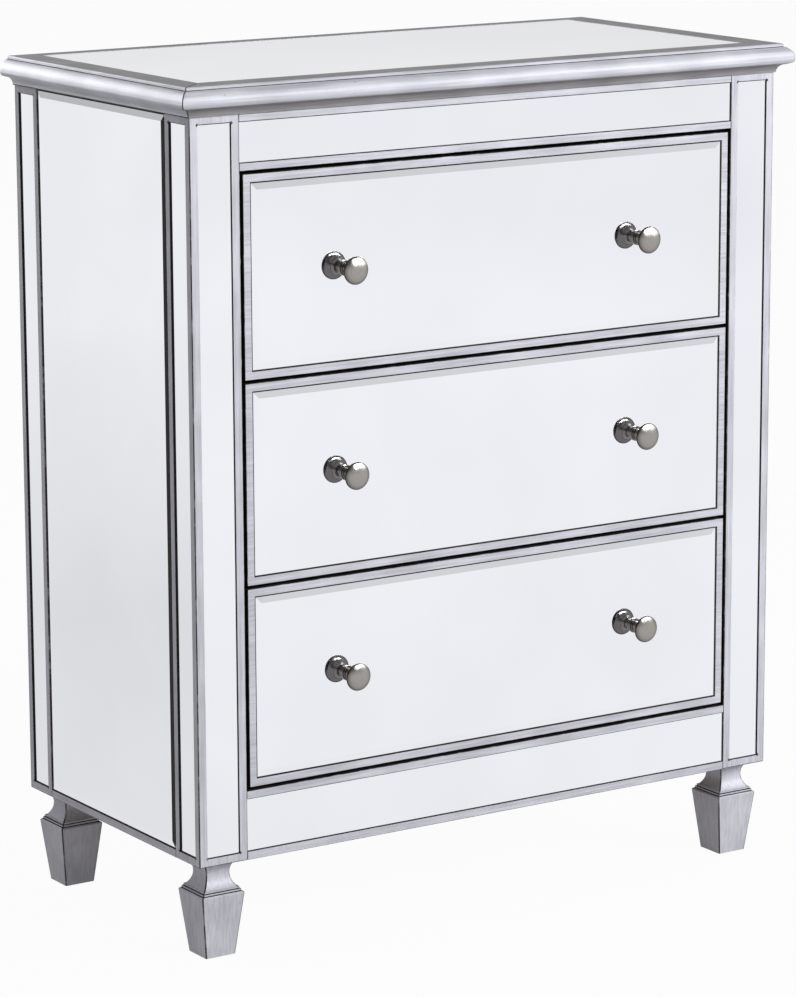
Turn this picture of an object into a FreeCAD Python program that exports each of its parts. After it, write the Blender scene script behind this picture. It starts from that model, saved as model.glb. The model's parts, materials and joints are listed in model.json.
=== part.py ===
import FreeCAD, Part
import math
import os

# A three-drawer chest in silver paint with mirror glass let into its faces.
# Millimetres. +Z is up, the front looks along -Y, and the origin is on the
# floor at the centre of the whole object's box, knobs included.

# Case
CASE_WIDTH = 778.0
CASE_DEPTH = 390.0
CASE_HEIGHT = 822.0
FOOT_HEIGHT = 110.0

# Corner posts and the silver strips that frame their mirrors
POST_WIDTH = 61.5
POST_DEPTH = 52.5
POST_FRONT_STRIP = 10.0
POST_SIDE_STRIP = 9.0
POST_CAP_STRIP = 8.5
POST_BASE_STRIP = 10.0

# Plain mirror strips, set below the paint by the recess
STRIP_GLASS = 3.0
STRIP_RECESS = 1.7
GLASS_CLEARANCE = 0.3

# Frieze rail above the drawers and apron rail below them
RAIL_THICKNESS = 20.0
FRIEZE_HEIGHT = 61.0
FRIEZE_TOP_STRIP = 8.5
FRIEZE_LOW_STRIP = 9.0
APRON_HEIGHT = 78.5
APRON_TOP_STRIP = 9.5
APRON_BASE_STRIP = 10.0

# Bevelled mirrors of the sides and the drawers
BEVEL_GLASS = 5.0
BEVEL_EDGE_GLASS = 4.0
BEVEL_RECESS = 0.2
BEVEL_WIDTH = 7.0
BEVEL_CLEARANCE = 0.5

# Side panels, bottom board and back panel
SIDE_BOARD = 12.0
SIDE_BASE_STRIP = 10.0
SIDE_MIRROR_TOP_GAP = 2.0
BOTTOM_BOARD = 15.0
BACK_PANEL = 5.0
BACK_RABBET = 10.0
BACK_SCREWS_PER_SIDE = 5
BACK_SCREW_END_MARGIN = 60.0
BACK_SCREW_RADIUS = 1.75
BACK_SCREW_HEAD_RADIUS = 3.5
BACK_SCREW_HEAD = 2.5
BACK_SCREW_LENGTH = 20.0

# Top: moulding round three edges, flat frame and inset mirror
MOULDING_HEIGHT = 33.0
TOP_OVERHANG = 17.5
TOP_EDGE_REACH = 7.8
TOP_EDGE_CHAMFER = 1.0
TOP_FRAME_WIDTH = 34.0
TOP_BACK_STRIP = 20.0
TOP_GLASS = 4.0
TOP_GLASS_RECESS = 0.3
COVE_FOOT = 2.0
COVE_REACH = 10.5
COVE_HEIGHT = 9.5
NOSE_UNDERCUT = 2.5
NOSE_LOW_RISE = 1.5
NOSE_RISE = 7.0
SHOULDER_REACH = 9.0
SHOULDER_DROP = 3.8
MITRE_GAP = 0.4
COVE_BULGE_SHARE = 0.2
NOSE_BULGE_SHARE = 0.16
OVOLO_BULGE_SHARE = 0.16

# Feet: scotia neck on a tapered square block
FOOT_INSET = 7.0
FOOT_BLOCK_TOP = 54.0
FOOT_BLOCK_BOTTOM = 37.5
FOOT_BLOCK_HEIGHT = 73.0
FOOT_BLOCK_EASE = 1.5
FOOT_NECK_TOP = 41.0
FOOT_NECK_LIP = 1.5
FOOT_NECK_BASE = 43.0
FOOT_LEDGE = 45.5
FOOT_LEDGE_HEIGHT = 2.5
FOOT_FILLET = 48.5
FOOT_FILLET_HEIGHT = 2.5
SCOTIA_BULGE_SHARE = 0.2
FOOT_BOLT_RADIUS = 4.0
FOOT_BOLT_IN_FOOT = 55.0
FOOT_BOLT_IN_POST = 50.0
BOLT_CLEARANCE = 0.15
BOLT_END_CLEARANCE = 0.5

# Drawers
DRAWER_NAMES = ("top_drawer", "middle_drawer", "bottom_drawer")
DRAWER_GAP = 3.5
DRAWER_FRONT = 20.0
DRAWER_RIM = 10.0
DRAWER_BACK_SPACE = 21.0
DRAWER_SIDE = 12.0
DRAWER_BACK = 12.0
DRAWER_BOX_RISE = 20.0
DRAWER_BOX_DROP = 33.0
DRAWER_BOTTOM = 5.0
DRAWER_GROOVE = 6.0
DRAWER_BOTTOM_RISE = 10.0
GROOVE_CLEARANCE = 0.2

# Three-section ball runners on both sides of each drawer
RUNNER_SPACE = 12.7
RUNNER_HEIGHT = 45.0
RUNNER_STEEL = 1.2
RUNNER_CLEARANCE = 0.3
RUNNER_SETBACK = 4.0
RUNNER_SCREW_RADIUS = 1.75
RUNNER_SCREW_HEAD_RADIUS = 3.0
RUNNER_SCREW_HEAD = 1.0
RUNNER_SCREW_LENGTH = 14.0
RUNNER_SCREW_MARGIN = 14.0
SCREW_CLEARANCE = 0.1

# Knobs, each held by one screw from inside the drawer
KNOB_SPACING = 393.0
KNOB_PROJECTION = 27.0
KNOB_HEAD_RADIUS = 15.5
KNOB_RIM = 2.0
KNOB_DOME = 3.5
KNOB_COLLAR_RADIUS = 8.5
KNOB_COLLAR = 2.2
KNOB_NECK_RADIUS = 6.0
KNOB_NECK_LENGTH = 9.0
KNOB_BELL_BULGE_SHARE = 0.2
KNOB_BORE = 12.0
KNOB_SCREW_RADIUS = 2.0
KNOB_SCREW_GRIP = 10.0
KNOB_SCREW_HEAD_RADIUS = 4.5
KNOB_SCREW_HEAD = 2.5
KNOB_HOLE_CLEARANCE = 0.3
GLASS_HOLE_CLEARANCE = 1.5

# Cuts run past the faces that they open by this much
OVERRUN = 1.0

# Places worked out from the sizes above
HALF_WIDTH = CASE_WIDTH / 2
CASE_BOTTOM = FOOT_HEIGHT
CASE_TOP = FOOT_HEIGHT + CASE_HEIGHT
TOP_Z = CASE_TOP + MOULDING_HEIGHT
KNOB_REACH = KNOB_PROJECTION - BEVEL_RECESS
OBJECT_REACH = max(KNOB_REACH, TOP_OVERHANG)
FRONT_Y = -(CASE_DEPTH + OBJECT_REACH) / 2 + OBJECT_REACH
BACK_Y = FRONT_Y + CASE_DEPTH
OPENING_HALF = HALF_WIDTH - POST_WIDTH
OPENING_TOP = CASE_TOP - FRIEZE_HEIGHT
OPENING_BOTTOM = CASE_BOTTOM + APRON_HEIGHT
DRAWER_COUNT = len(DRAWER_NAMES)
OPENING_HEIGHT = OPENING_TOP - OPENING_BOTTOM
DRAWER_HEIGHT = (OPENING_HEIGHT - DRAWER_GAP * (DRAWER_COUNT + 1)) / DRAWER_COUNT
DRAWER_PITCH = DRAWER_HEIGHT + DRAWER_GAP
STRIP_DEPTH = STRIP_GLASS + STRIP_RECESS
BEVEL_DEPTH = BEVEL_GLASS + BEVEL_RECESS
BACK_PANEL_FRONT = BACK_Y - BACK_PANEL
FLANGE = TOP_GLASS + TOP_GLASS_RECESS
BOARD_TOP = TOP_Z - FLANGE
TOP_FRAME_INSIDE = TOP_FRAME_WIDTH - TOP_EDGE_REACH
FOOT_CENTRE_X = HALF_WIDTH - FOOT_INSET - FOOT_BLOCK_TOP / 2
FOOT_CENTRE_FRONT = FRONT_Y + FOOT_INSET + FOOT_BLOCK_TOP / 2
FOOT_CENTRE_BACK = BACK_Y - FOOT_INSET - FOOT_BLOCK_TOP / 2
DRAWER_BOX_HALF = OPENING_HALF - RUNNER_SPACE
DRAWER_INSIDE_HALF = DRAWER_BOX_HALF - DRAWER_SIDE
DRAWER_BACK_OF_FRONT = FRONT_Y + DRAWER_FRONT
DRAWER_END = BACK_PANEL_FRONT - DRAWER_BACK_SPACE
DRAWER_BOX_HEIGHT = DRAWER_HEIGHT - DRAWER_BOX_RISE - DRAWER_BOX_DROP
RUNNER_START = DRAWER_BACK_OF_FRONT + RUNNER_SETBACK
RUNNER_END = DRAWER_END
MIRROR_FACE_Y = FRONT_Y + BEVEL_RECESS
LEFT, RIGHT = -1, 1


def vec(x, y, z):
    return FreeCAD.Vector(x, y, z)


def block(x_limits, y_limits, z_limits):
    """Box between two limits on each axis, given in either order."""
    x_low, x_high = sorted(x_limits)
    y_low, y_high = sorted(y_limits)
    z_low, z_high = sorted(z_limits)
    return Part.makeBox(x_high - x_low, y_high - y_low, z_high - z_low, vec(x_low, y_low, z_low))


def rod(radius, start, end):
    """Round bar from one point to another."""
    return Part.makeCylinder(radius, (end - start).Length, start, end - start)


def closed_loop(points):
    return Part.makePolygon(points + points[:1])


def prism(points, direction):
    """Solid made by pushing a flat outline along a direction."""
    return Part.Face(closed_loop(points)).extrude(direction)


def bulged_arc(start, end, bulge_share, side):
    """Arc whose middle stands off its chord, to the side that the vector points to."""
    middle = (start + end) / 2
    offset = side.normalize() * (end - start).Length * bulge_share
    return Part.Arc(start, middle + offset, end).toShape()


def line(start, end):
    return Part.LineSegment(start, end).toShape()


def save(name, *solids):
    """Write one node, as a single solid or a group of separate ones."""
    shape = solids[0] if len(solids) == 1 else Part.makeCompound(list(solids))
    shape.exportStep(os.path.join("parts", name + ".step"))


def bevelled_glass(place, u_limits, v_limits):
    """Mirror plate with a ground bevel; place(u, v, w) turns plate sizes into a point."""
    u_low, u_high = u_limits
    v_low, v_high = v_limits

    def outline(inset, height):
        corners = [(u_low + inset, v_low + inset), (u_high - inset, v_low + inset),
                   (u_high - inset, v_high - inset), (u_low + inset, v_high - inset)]
        return closed_loop([place(u, v, height) for u, v in corners])

    edge = outline(0, BEVEL_EDGE_GLASS)
    plate = Part.makeLoft([outline(0, 0), edge], True, True)
    slope = Part.makeLoft([edge, outline(BEVEL_WIDTH, BEVEL_GLASS)], True, True)
    return plate.fuse(slope).removeSplitter()


# Corner posts and their mirror strips

def post_footprint(side, is_front):
    x_limits = (side * HALF_WIDTH, side * OPENING_HALF)
    if is_front:
        return x_limits, (FRONT_Y, FRONT_Y + POST_DEPTH)
    return x_limits, (BACK_Y - POST_DEPTH, BACK_Y)


def post_mirror_z(clearance):
    return CASE_BOTTOM + POST_BASE_STRIP + clearance, CASE_TOP - POST_CAP_STRIP - clearance


def post_front_slot(side, depth_limits, clearance, overrun=0):
    """Space of the mirror strip on a post's front face, or of the groove that holds it."""
    x_limits = (side * (HALF_WIDTH - POST_FRONT_STRIP - clearance),
                side * (OPENING_HALF + POST_FRONT_STRIP + clearance))
    y_limits = (FRONT_Y + depth_limits[0] - overrun, FRONT_Y + depth_limits[1])
    return block(x_limits, y_limits, post_mirror_z(clearance))


def post_side_slot(side, is_front, depth_limits, clearance, overrun=0):
    """Space of the mirror strip on a post's outer side, or of the groove that holds it."""
    y_low, y_high = post_footprint(side, is_front)[1]
    margin = POST_SIDE_STRIP + clearance
    x_limits = (side * (HALF_WIDTH - depth_limits[0] + overrun), side * (HALF_WIDTH - depth_limits[1]))
    return block(x_limits, (y_low + margin, y_high - margin), post_mirror_z(clearance))


def foot_centre(side, is_front):
    return side * FOOT_CENTRE_X, FOOT_CENTRE_FRONT if is_front else FOOT_CENTRE_BACK


def foot_bolt(side, is_front, clearance, end_clearance):
    x, y = foot_centre(side, is_front)
    low = vec(x, y, CASE_BOTTOM - FOOT_BOLT_IN_FOOT - end_clearance)
    high = vec(x, y, CASE_BOTTOM + FOOT_BOLT_IN_POST + end_clearance)
    return rod(FOOT_BOLT_RADIUS + clearance, low, high)


def post(side, is_front):
    x_limits, y_limits = post_footprint(side, is_front)
    solid = block(x_limits, y_limits, (CASE_BOTTOM, CASE_TOP))
    solid = solid.cut(post_side_slot(side, is_front, (0, STRIP_DEPTH), 0, OVERRUN))
    solid = solid.cut(foot_bolt(side, is_front, BOLT_CLEARANCE, BOLT_END_CLEARANCE))
    if is_front:
        solid = solid.cut(post_front_slot(side, (0, STRIP_DEPTH), 0, OVERRUN))
    else:
        solid = solid.cut(back_panel_space(OVERRUN))
        for screw in back_screws(side, SCREW_CLEARANCE):
            solid = solid.cut(screw)
    for screw in case_runner_screws(side, is_front, SCREW_CLEARANCE):
        solid = solid.cut(screw)
    return solid


def front_post_mirror(side):
    return post_front_slot(side, (STRIP_RECESS, STRIP_DEPTH), GLASS_CLEARANCE)


def side_post_mirror(side, is_front):
    return post_side_slot(side, is_front, (STRIP_RECESS, STRIP_DEPTH), GLASS_CLEARANCE)


# Rails with their mirror strips

def rail_slot(mirror_z, depth_limits, clearance, overrun=0):
    """Space of a rail's mirror strip, which runs from post to post, or of its groove."""
    half = OPENING_HALF - clearance + overrun
    y_limits = (FRONT_Y + depth_limits[0] - overrun, FRONT_Y + depth_limits[1])
    return block((-half, half), y_limits, (mirror_z[0] + clearance, mirror_z[1] - clearance))


def rail_board(z_limits, mirror_z):
    board = block((-OPENING_HALF, OPENING_HALF), (FRONT_Y, FRONT_Y + RAIL_THICKNESS), z_limits)
    return board.cut(rail_slot(mirror_z, (0, STRIP_DEPTH), 0, OVERRUN))


def rail_mirror(mirror_z):
    return rail_slot(mirror_z, (STRIP_RECESS, STRIP_DEPTH), GLASS_CLEARANCE)


# Sides, bottom and back

def side_panel(side):
    """Board between the posts with a painted strip along its foot."""
    y_limits = (FRONT_Y + POST_DEPTH, BACK_Y - POST_DEPTH)
    outer = HALF_WIDTH - BEVEL_DEPTH
    board = block((side * outer, side * (outer - SIDE_BOARD)), y_limits, (CASE_BOTTOM, CASE_TOP))
    strip = block((side * outer, side * HALF_WIDTH), y_limits, (CASE_BOTTOM, CASE_BOTTOM + SIDE_BASE_STRIP))
    return board.fuse(strip).removeSplitter()


def side_mirror(side):
    seat = HALF_WIDTH - BEVEL_DEPTH
    y_limits = (FRONT_Y + POST_DEPTH + BEVEL_CLEARANCE, BACK_Y - POST_DEPTH - BEVEL_CLEARANCE)
    z_limits = (CASE_BOTTOM + SIDE_BASE_STRIP + BEVEL_CLEARANCE, CASE_TOP - SIDE_MIRROR_TOP_GAP)
    return bevelled_glass(lambda u, v, w: vec(side * (seat + w), u, v), y_limits, z_limits)


def bottom_board():
    inside = HALF_WIDTH - BEVEL_DEPTH - SIDE_BOARD
    z_limits = (CASE_BOTTOM, CASE_BOTTOM + BOTTOM_BOARD)
    board = block((-inside, inside), (FRONT_Y + RAIL_THICKNESS, BACK_PANEL_FRONT), z_limits)
    for side in (LEFT, RIGHT):
        for is_front in (True, False):
            x_limits, y_limits = post_footprint(side, is_front)
            board = board.cut(block(x_limits, y_limits, z_limits))
    return board


def back_panel_space(overrun):
    half = OPENING_HALF + BACK_RABBET
    z_limits = (CASE_BOTTOM - overrun, CASE_TOP + overrun)
    return block((-half, half), (BACK_PANEL_FRONT, BACK_Y + overrun), z_limits)


def back_screws(side, clearance):
    """Countersunk screws that hold the back panel to a post, heads flush with the panel."""
    x = side * (OPENING_HALF + BACK_RABBET / 2)
    low = CASE_BOTTOM + BACK_SCREW_END_MARGIN
    spacing = (CASE_HEIGHT - BACK_SCREW_END_MARGIN * 2) / (BACK_SCREWS_PER_SIDE - 1)
    screws = []
    for number in range(BACK_SCREWS_PER_SIDE):
        z = low + spacing * number
        head_end = vec(x, BACK_Y - BACK_SCREW_HEAD - clearance, z)
        head = rod(BACK_SCREW_HEAD_RADIUS + clearance, vec(x, BACK_Y, z), head_end)
        tip = vec(x, BACK_Y - BACK_SCREW_LENGTH - clearance, z)
        shank = rod(BACK_SCREW_RADIUS + clearance, head_end, tip)
        screws.append(head.fuse(shank).removeSplitter())
    return screws


def back_panel():
    panel = back_panel_space(0)
    for side in (LEFT, RIGHT):
        for screw in back_screws(side, SCREW_CLEARANCE):
            panel = panel.cut(screw)
    return panel


# Top

def moulding_outline(place):
    """Profile of the moulding; place(reach, height) turns case offsets into a point."""
    cove_start = place(COVE_FOOT, 0)
    cove_end = place(COVE_REACH, COVE_HEIGHT)
    nose_low = place(TOP_OVERHANG - NOSE_UNDERCUT, COVE_HEIGHT + NOSE_LOW_RISE)
    nose = place(TOP_OVERHANG, COVE_HEIGHT + NOSE_RISE)
    shoulder = place(SHOULDER_REACH, MOULDING_HEIGHT - SHOULDER_DROP)
    fillet_foot = place(TOP_EDGE_REACH, MOULDING_HEIGHT - SHOULDER_DROP)
    fillet_top = place(TOP_EDGE_REACH, MOULDING_HEIGHT - TOP_EDGE_CHAMFER)
    top_edge = place(TOP_EDGE_REACH - TOP_EDGE_CHAMFER, MOULDING_HEIGHT)
    frame_top = place(-TOP_FRAME_INSIDE, MOULDING_HEIGHT)
    frame_low = place(-TOP_FRAME_INSIDE, MOULDING_HEIGHT - FLANGE)
    case_edge = place(0, MOULDING_HEIGHT - FLANGE)
    case_foot = place(0, 0)
    outward = place(1, 0) - place(0, 0)
    upward = place(0, 1) - place(0, 0)
    edges = [
        line(case_foot, cove_start),
        bulged_arc(cove_start, cove_end, COVE_BULGE_SHARE, upward - outward),
        line(cove_end, nose_low),
        bulged_arc(nose_low, nose, NOSE_BULGE_SHARE, outward - upward),
        bulged_arc(nose, shoulder, OVOLO_BULGE_SHARE, outward + upward),
        line(shoulder, fillet_foot),
        line(fillet_foot, fillet_top),
        line(fillet_top, top_edge),
        line(top_edge, frame_top),
        line(frame_top, frame_low),
        line(frame_low, case_edge),
        line(case_edge, case_foot),
    ]
    return Part.Face(Part.Wire(edges))


def front_moulding():
    reach = TOP_OVERHANG + OVERRUN
    profile = moulding_outline(lambda out, up: vec(-HALF_WIDTH - reach, FRONT_Y - out, CASE_TOP + up))
    strip = profile.extrude(vec((HALF_WIDTH + reach) * 2, 0, 0))
    outer = HALF_WIDTH + reach - MITRE_GAP / 2
    inner = HALF_WIDTH - TOP_FRAME_INSIDE - MITRE_GAP / 2
    front = FRONT_Y - reach
    inside = FRONT_Y + TOP_FRAME_INSIDE
    plan = [vec(-outer, front, CASE_TOP), vec(outer, front, CASE_TOP),
            vec(inner, inside, CASE_TOP), vec(-inner, inside, CASE_TOP)]
    return strip.common(prism(plan, vec(0, 0, MOULDING_HEIGHT)))


def side_moulding(side):
    reach = TOP_OVERHANG + OVERRUN
    profile = moulding_outline(lambda out, up: vec(side * (HALF_WIDTH + out), FRONT_Y - reach, CASE_TOP + up))
    strip = profile.extrude(vec(0, CASE_DEPTH + reach, 0))
    outer = side * (HALF_WIDTH + reach)
    inner = side * (HALF_WIDTH - TOP_FRAME_INSIDE)
    front = FRONT_Y + MITRE_GAP / 2
    plan = [vec(outer, front - reach, CASE_TOP), vec(inner, front + TOP_FRAME_INSIDE, CASE_TOP),
            vec(inner, BACK_Y, CASE_TOP), vec(outer, BACK_Y, CASE_TOP)]
    return strip.common(prism(plan, vec(0, 0, MOULDING_HEIGHT)))


def top_board():
    return block((-HALF_WIDTH, HALF_WIDTH), (FRONT_Y, BACK_Y), (CASE_TOP, BOARD_TOP))


def top_back_strip():
    half = HALF_WIDTH - TOP_FRAME_INSIDE
    return block((-half, half), (BACK_Y - TOP_BACK_STRIP, BACK_Y), (BOARD_TOP, TOP_Z))


def top_mirror():
    half = HALF_WIDTH - TOP_FRAME_INSIDE - GLASS_CLEARANCE
    y_limits = (FRONT_Y + TOP_FRAME_INSIDE + GLASS_CLEARANCE, BACK_Y - TOP_BACK_STRIP - GLASS_CLEARANCE)
    return block((-half, half), y_limits, (BOARD_TOP, BOARD_TOP + TOP_GLASS))


# Feet

def neck_side(place, sign):
    """Edges of one side of the neck's outline; place(offset, z) gives a point."""
    fillet_top = FOOT_BLOCK_HEIGHT + FOOT_FILLET_HEIGHT
    ledge_top = fillet_top + FOOT_LEDGE_HEIGHT
    lip_low = CASE_BOTTOM - FOOT_NECK_LIP

    def at(width, z):
        return place(sign * width / 2, z)

    return [
        line(at(FOOT_FILLET, FOOT_BLOCK_HEIGHT), at(FOOT_FILLET, fillet_top)),
        line(at(FOOT_FILLET, fillet_top), at(FOOT_LEDGE, fillet_top)),
        line(at(FOOT_LEDGE, fillet_top), at(FOOT_LEDGE, ledge_top)),
        line(at(FOOT_LEDGE, ledge_top), at(FOOT_NECK_BASE, ledge_top)),
        bulged_arc(at(FOOT_NECK_BASE, ledge_top), at(FOOT_NECK_TOP, lip_low), SCOTIA_BULGE_SHARE,
                   at(0, 0) - at(1, 0)),
        line(at(FOOT_NECK_TOP, lip_low), at(FOOT_NECK_TOP, CASE_BOTTOM)),
    ]


def neck_outline(place):
    """Face of the neck seen square on, scotia on both sides."""
    edges = neck_side(place, LEFT) + neck_side(place, RIGHT)
    edges.append(line(place(-FOOT_FILLET / 2, FOOT_BLOCK_HEIGHT), place(FOOT_FILLET / 2, FOOT_BLOCK_HEIGHT)))
    edges.append(line(place(-FOOT_NECK_TOP / 2, CASE_BOTTOM), place(FOOT_NECK_TOP / 2, CASE_BOTTOM)))
    return Part.Face(Part.Wire(Part.__sortEdges__(edges)))


def square_loop(x, y, z, size):
    half = size / 2
    return closed_loop([vec(x - half, y - half, z), vec(x + half, y - half, z),
                        vec(x + half, y + half, z), vec(x - half, y + half, z)])


def foot(side, is_front):
    x, y = foot_centre(side, is_front)
    half = FOOT_FILLET / 2
    across = neck_outline(lambda out, z: vec(x + out, y - half, z)).extrude(vec(0, FOOT_FILLET, 0))
    along = neck_outline(lambda out, z: vec(x - half, y + out, z)).extrude(vec(FOOT_FILLET, 0, 0))
    neck = across.common(along)
    eased_height = FOOT_BLOCK_HEIGHT - FOOT_BLOCK_EASE
    taper = Part.makeLoft([square_loop(x, y, 0, FOOT_BLOCK_BOTTOM),
                           square_loop(x, y, eased_height, FOOT_BLOCK_TOP)], True, True)
    eased_top = FOOT_BLOCK_TOP - FOOT_BLOCK_EASE * 2
    ease = Part.makeLoft([square_loop(x, y, eased_height, FOOT_BLOCK_TOP),
                          square_loop(x, y, FOOT_BLOCK_HEIGHT, eased_top)], True, True)
    solid = taper.fuse([ease, neck]).removeSplitter()
    return solid.cut(foot_bolt(side, is_front, BOLT_CLEARANCE, BOLT_END_CLEARANCE))


# Runners

def runner_z(number):
    return drawer_bottom(number) + DRAWER_BOX_RISE + DRAWER_BOX_HEIGHT / 2


def channel(side, number, web_limits, flange_reach, height):
    """Steel channel along Y: a web between two distances from the middle, flanges to a third."""
    z = runner_z(number)
    y_limits = (RUNNER_START, RUNNER_END)
    web = block((side * web_limits[0], side * web_limits[1]), y_limits, (z - height / 2, z + height / 2))
    flange_x = (side * web_limits[0], side * flange_reach)
    low = block(flange_x, y_limits, (z - height / 2, z - height / 2 + RUNNER_STEEL))
    high = block(flange_x, y_limits, (z + height / 2 - RUNNER_STEEL, z + height / 2))
    return web.fuse([low, high]).removeSplitter()


def mid_runner_height():
    return RUNNER_HEIGHT - (RUNNER_STEEL + RUNNER_CLEARANCE) * 2


def outer_runner(side, number):
    """Case member, screwed to the posts."""
    web = (OPENING_HALF, OPENING_HALF - RUNNER_STEEL)
    solid = channel(side, number, web, DRAWER_BOX_HALF + RUNNER_CLEARANCE, RUNNER_HEIGHT)
    for is_front in (True, False):
        for screw in case_runner_screws(side, is_front, SCREW_CLEARANCE):
            solid = solid.cut(screw)
    return solid


def mid_runner(side, number):
    """Middle member, which travels half as far as the drawer."""
    outside = OPENING_HALF - RUNNER_STEEL - RUNNER_CLEARANCE
    web = (outside, outside - RUNNER_STEEL)
    return channel(side, number, web, DRAWER_BOX_HALF + RUNNER_CLEARANCE, mid_runner_height())


def inner_runner(side, number):
    """Drawer member, on the drawer's side."""
    height = mid_runner_height() - (RUNNER_STEEL + RUNNER_CLEARANCE) * 2
    web = (DRAWER_BOX_HALF, DRAWER_BOX_HALF + RUNNER_STEEL)
    reach = OPENING_HALF - (RUNNER_STEEL + RUNNER_CLEARANCE) * 2
    return channel(side, number, web, reach, height)


def case_runner_screws(side, is_front, clearance):
    """Screws of the case members into one post, heads flush in the steel."""
    if is_front:
        y = RUNNER_START + RUNNER_SCREW_MARGIN
    else:
        y = BACK_Y - POST_DEPTH + (RUNNER_END - BACK_Y + POST_DEPTH) / 2
    head_start = side * (OPENING_HALF - RUNNER_STEEL)
    head_end = head_start + side * (RUNNER_SCREW_HEAD + clearance)
    tip = head_start + side * (RUNNER_SCREW_LENGTH + clearance)
    screws = []
    for number in range(DRAWER_COUNT):
        z = runner_z(number)
        head = rod(RUNNER_SCREW_HEAD_RADIUS + clearance, vec(head_start, y, z), vec(head_end, y, z))
        shank = rod(RUNNER_SCREW_RADIUS + clearance, vec(head_end, y, z), vec(tip, y, z))
        screws.append(head.fuse(shank).removeSplitter())
    return screws


# Drawers

def drawer_bottom(number):
    """Lower edge of a drawer front, counted from the top drawer."""
    return OPENING_TOP - DRAWER_PITCH * (number + 1)


def box_z(number):
    low = drawer_bottom(number) + DRAWER_BOX_RISE
    return low, low + DRAWER_BOX_HEIGHT


def bottom_space(number, clearance):
    """Space of the drawer bottom, held in grooves of the sides and the front."""
    low = box_z(number)[0] + DRAWER_BOTTOM_RISE
    half = DRAWER_INSIDE_HALF + DRAWER_GROOVE - clearance
    return block((-half, half), (DRAWER_BACK_OF_FRONT - DRAWER_GROOVE + clearance, DRAWER_END),
                 (low, low + DRAWER_BOTTOM))


def knob_centre(side, number):
    return side * KNOB_SPACING / 2, drawer_bottom(number) + DRAWER_HEIGHT / 2


def knob_hole(side, number, radius):
    x, z = knob_centre(side, number)
    return rod(radius, vec(x, FRONT_Y - OVERRUN, z), vec(x, DRAWER_BACK_OF_FRONT + OVERRUN, z))


def drawer_front(number):
    low = drawer_bottom(number)
    half = OPENING_HALF - DRAWER_GAP
    board = block((-half, half), (FRONT_Y, DRAWER_BACK_OF_FRONT), (low, low + DRAWER_HEIGHT))
    recess = block((-half + DRAWER_RIM, half - DRAWER_RIM), (FRONT_Y - OVERRUN, FRONT_Y + BEVEL_DEPTH),
                   (low + DRAWER_RIM, low + DRAWER_HEIGHT - DRAWER_RIM))
    board = board.cut(recess).cut(bottom_space(number, 0))
    for side in (LEFT, RIGHT):
        board = board.cut(knob_hole(side, number, KNOB_SCREW_RADIUS + KNOB_HOLE_CLEARANCE))
    return board


def drawer_mirror(number):
    margin = DRAWER_RIM + BEVEL_CLEARANCE
    half = OPENING_HALF - DRAWER_GAP - margin
    low = drawer_bottom(number)
    seat = FRONT_Y + BEVEL_DEPTH
    glass = bevelled_glass(lambda u, v, w: vec(u, seat - w, v), (-half, half),
                           (low + margin, low + DRAWER_HEIGHT - margin))
    for side in (LEFT, RIGHT):
        glass = glass.cut(knob_hole(side, number, KNOB_SCREW_RADIUS + GLASS_HOLE_CLEARANCE))
    return glass


def drawer_side(side, number):
    board = block((side * DRAWER_BOX_HALF, side * DRAWER_INSIDE_HALF), (DRAWER_BACK_OF_FRONT, DRAWER_END),
                  box_z(number))
    return board.cut(bottom_space(number, 0))


def drawer_back(number):
    low, high = box_z(number)
    return block((-DRAWER_INSIDE_HALF, DRAWER_INSIDE_HALF), (DRAWER_END - DRAWER_BACK, DRAWER_END),
                 (low + DRAWER_BOTTOM_RISE + DRAWER_BOTTOM, high))


def knob(side, number):
    """Turned mushroom knob with a collar against the glass and a blind bore for its screw."""
    x, z = knob_centre(side, number)

    def at(radius, out):
        return vec(x + radius, MIRROR_FACE_Y - out, z)

    rim_front = KNOB_PROJECTION - KNOB_DOME
    head_back = rim_front - KNOB_RIM
    dome_radius = (KNOB_HEAD_RADIUS ** 2 + KNOB_DOME ** 2) / (KNOB_DOME * 2)
    half_head = KNOB_HEAD_RADIUS / 2
    dome_centre = KNOB_PROJECTION - dome_radius
    dome_middle = at(half_head, dome_centre + math.sqrt(dome_radius ** 2 - half_head ** 2))
    neck_end = KNOB_COLLAR + KNOB_NECK_LENGTH
    outward = at(0, 1) - at(0, 0)
    aside = at(1, 0) - at(0, 0)
    bore_radius = KNOB_SCREW_RADIUS + SCREW_CLEARANCE
    edges = [
        line(at(bore_radius, 0), at(KNOB_COLLAR_RADIUS, 0)),
        line(at(KNOB_COLLAR_RADIUS, 0), at(KNOB_COLLAR_RADIUS, KNOB_COLLAR)),
        line(at(KNOB_COLLAR_RADIUS, KNOB_COLLAR), at(KNOB_NECK_RADIUS, KNOB_COLLAR)),
        line(at(KNOB_NECK_RADIUS, KNOB_COLLAR), at(KNOB_NECK_RADIUS, neck_end)),
        bulged_arc(at(KNOB_NECK_RADIUS, neck_end), at(KNOB_HEAD_RADIUS, head_back),
                   KNOB_BELL_BULGE_SHARE, outward - aside),
        line(at(KNOB_HEAD_RADIUS, head_back), at(KNOB_HEAD_RADIUS, rim_front)),
        Part.Arc(at(KNOB_HEAD_RADIUS, rim_front), dome_middle, at(0, KNOB_PROJECTION)).toShape(),
        line(at(0, KNOB_PROJECTION), at(0, KNOB_BORE)),
        line(at(0, KNOB_BORE), at(bore_radius, KNOB_BORE)),
        line(at(bore_radius, KNOB_BORE), at(bore_radius, 0)),
    ]
    profile = Part.Face(Part.Wire(edges))
    return profile.revolve(at(0, 0), vec(0, 1, 0), 360)


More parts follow.
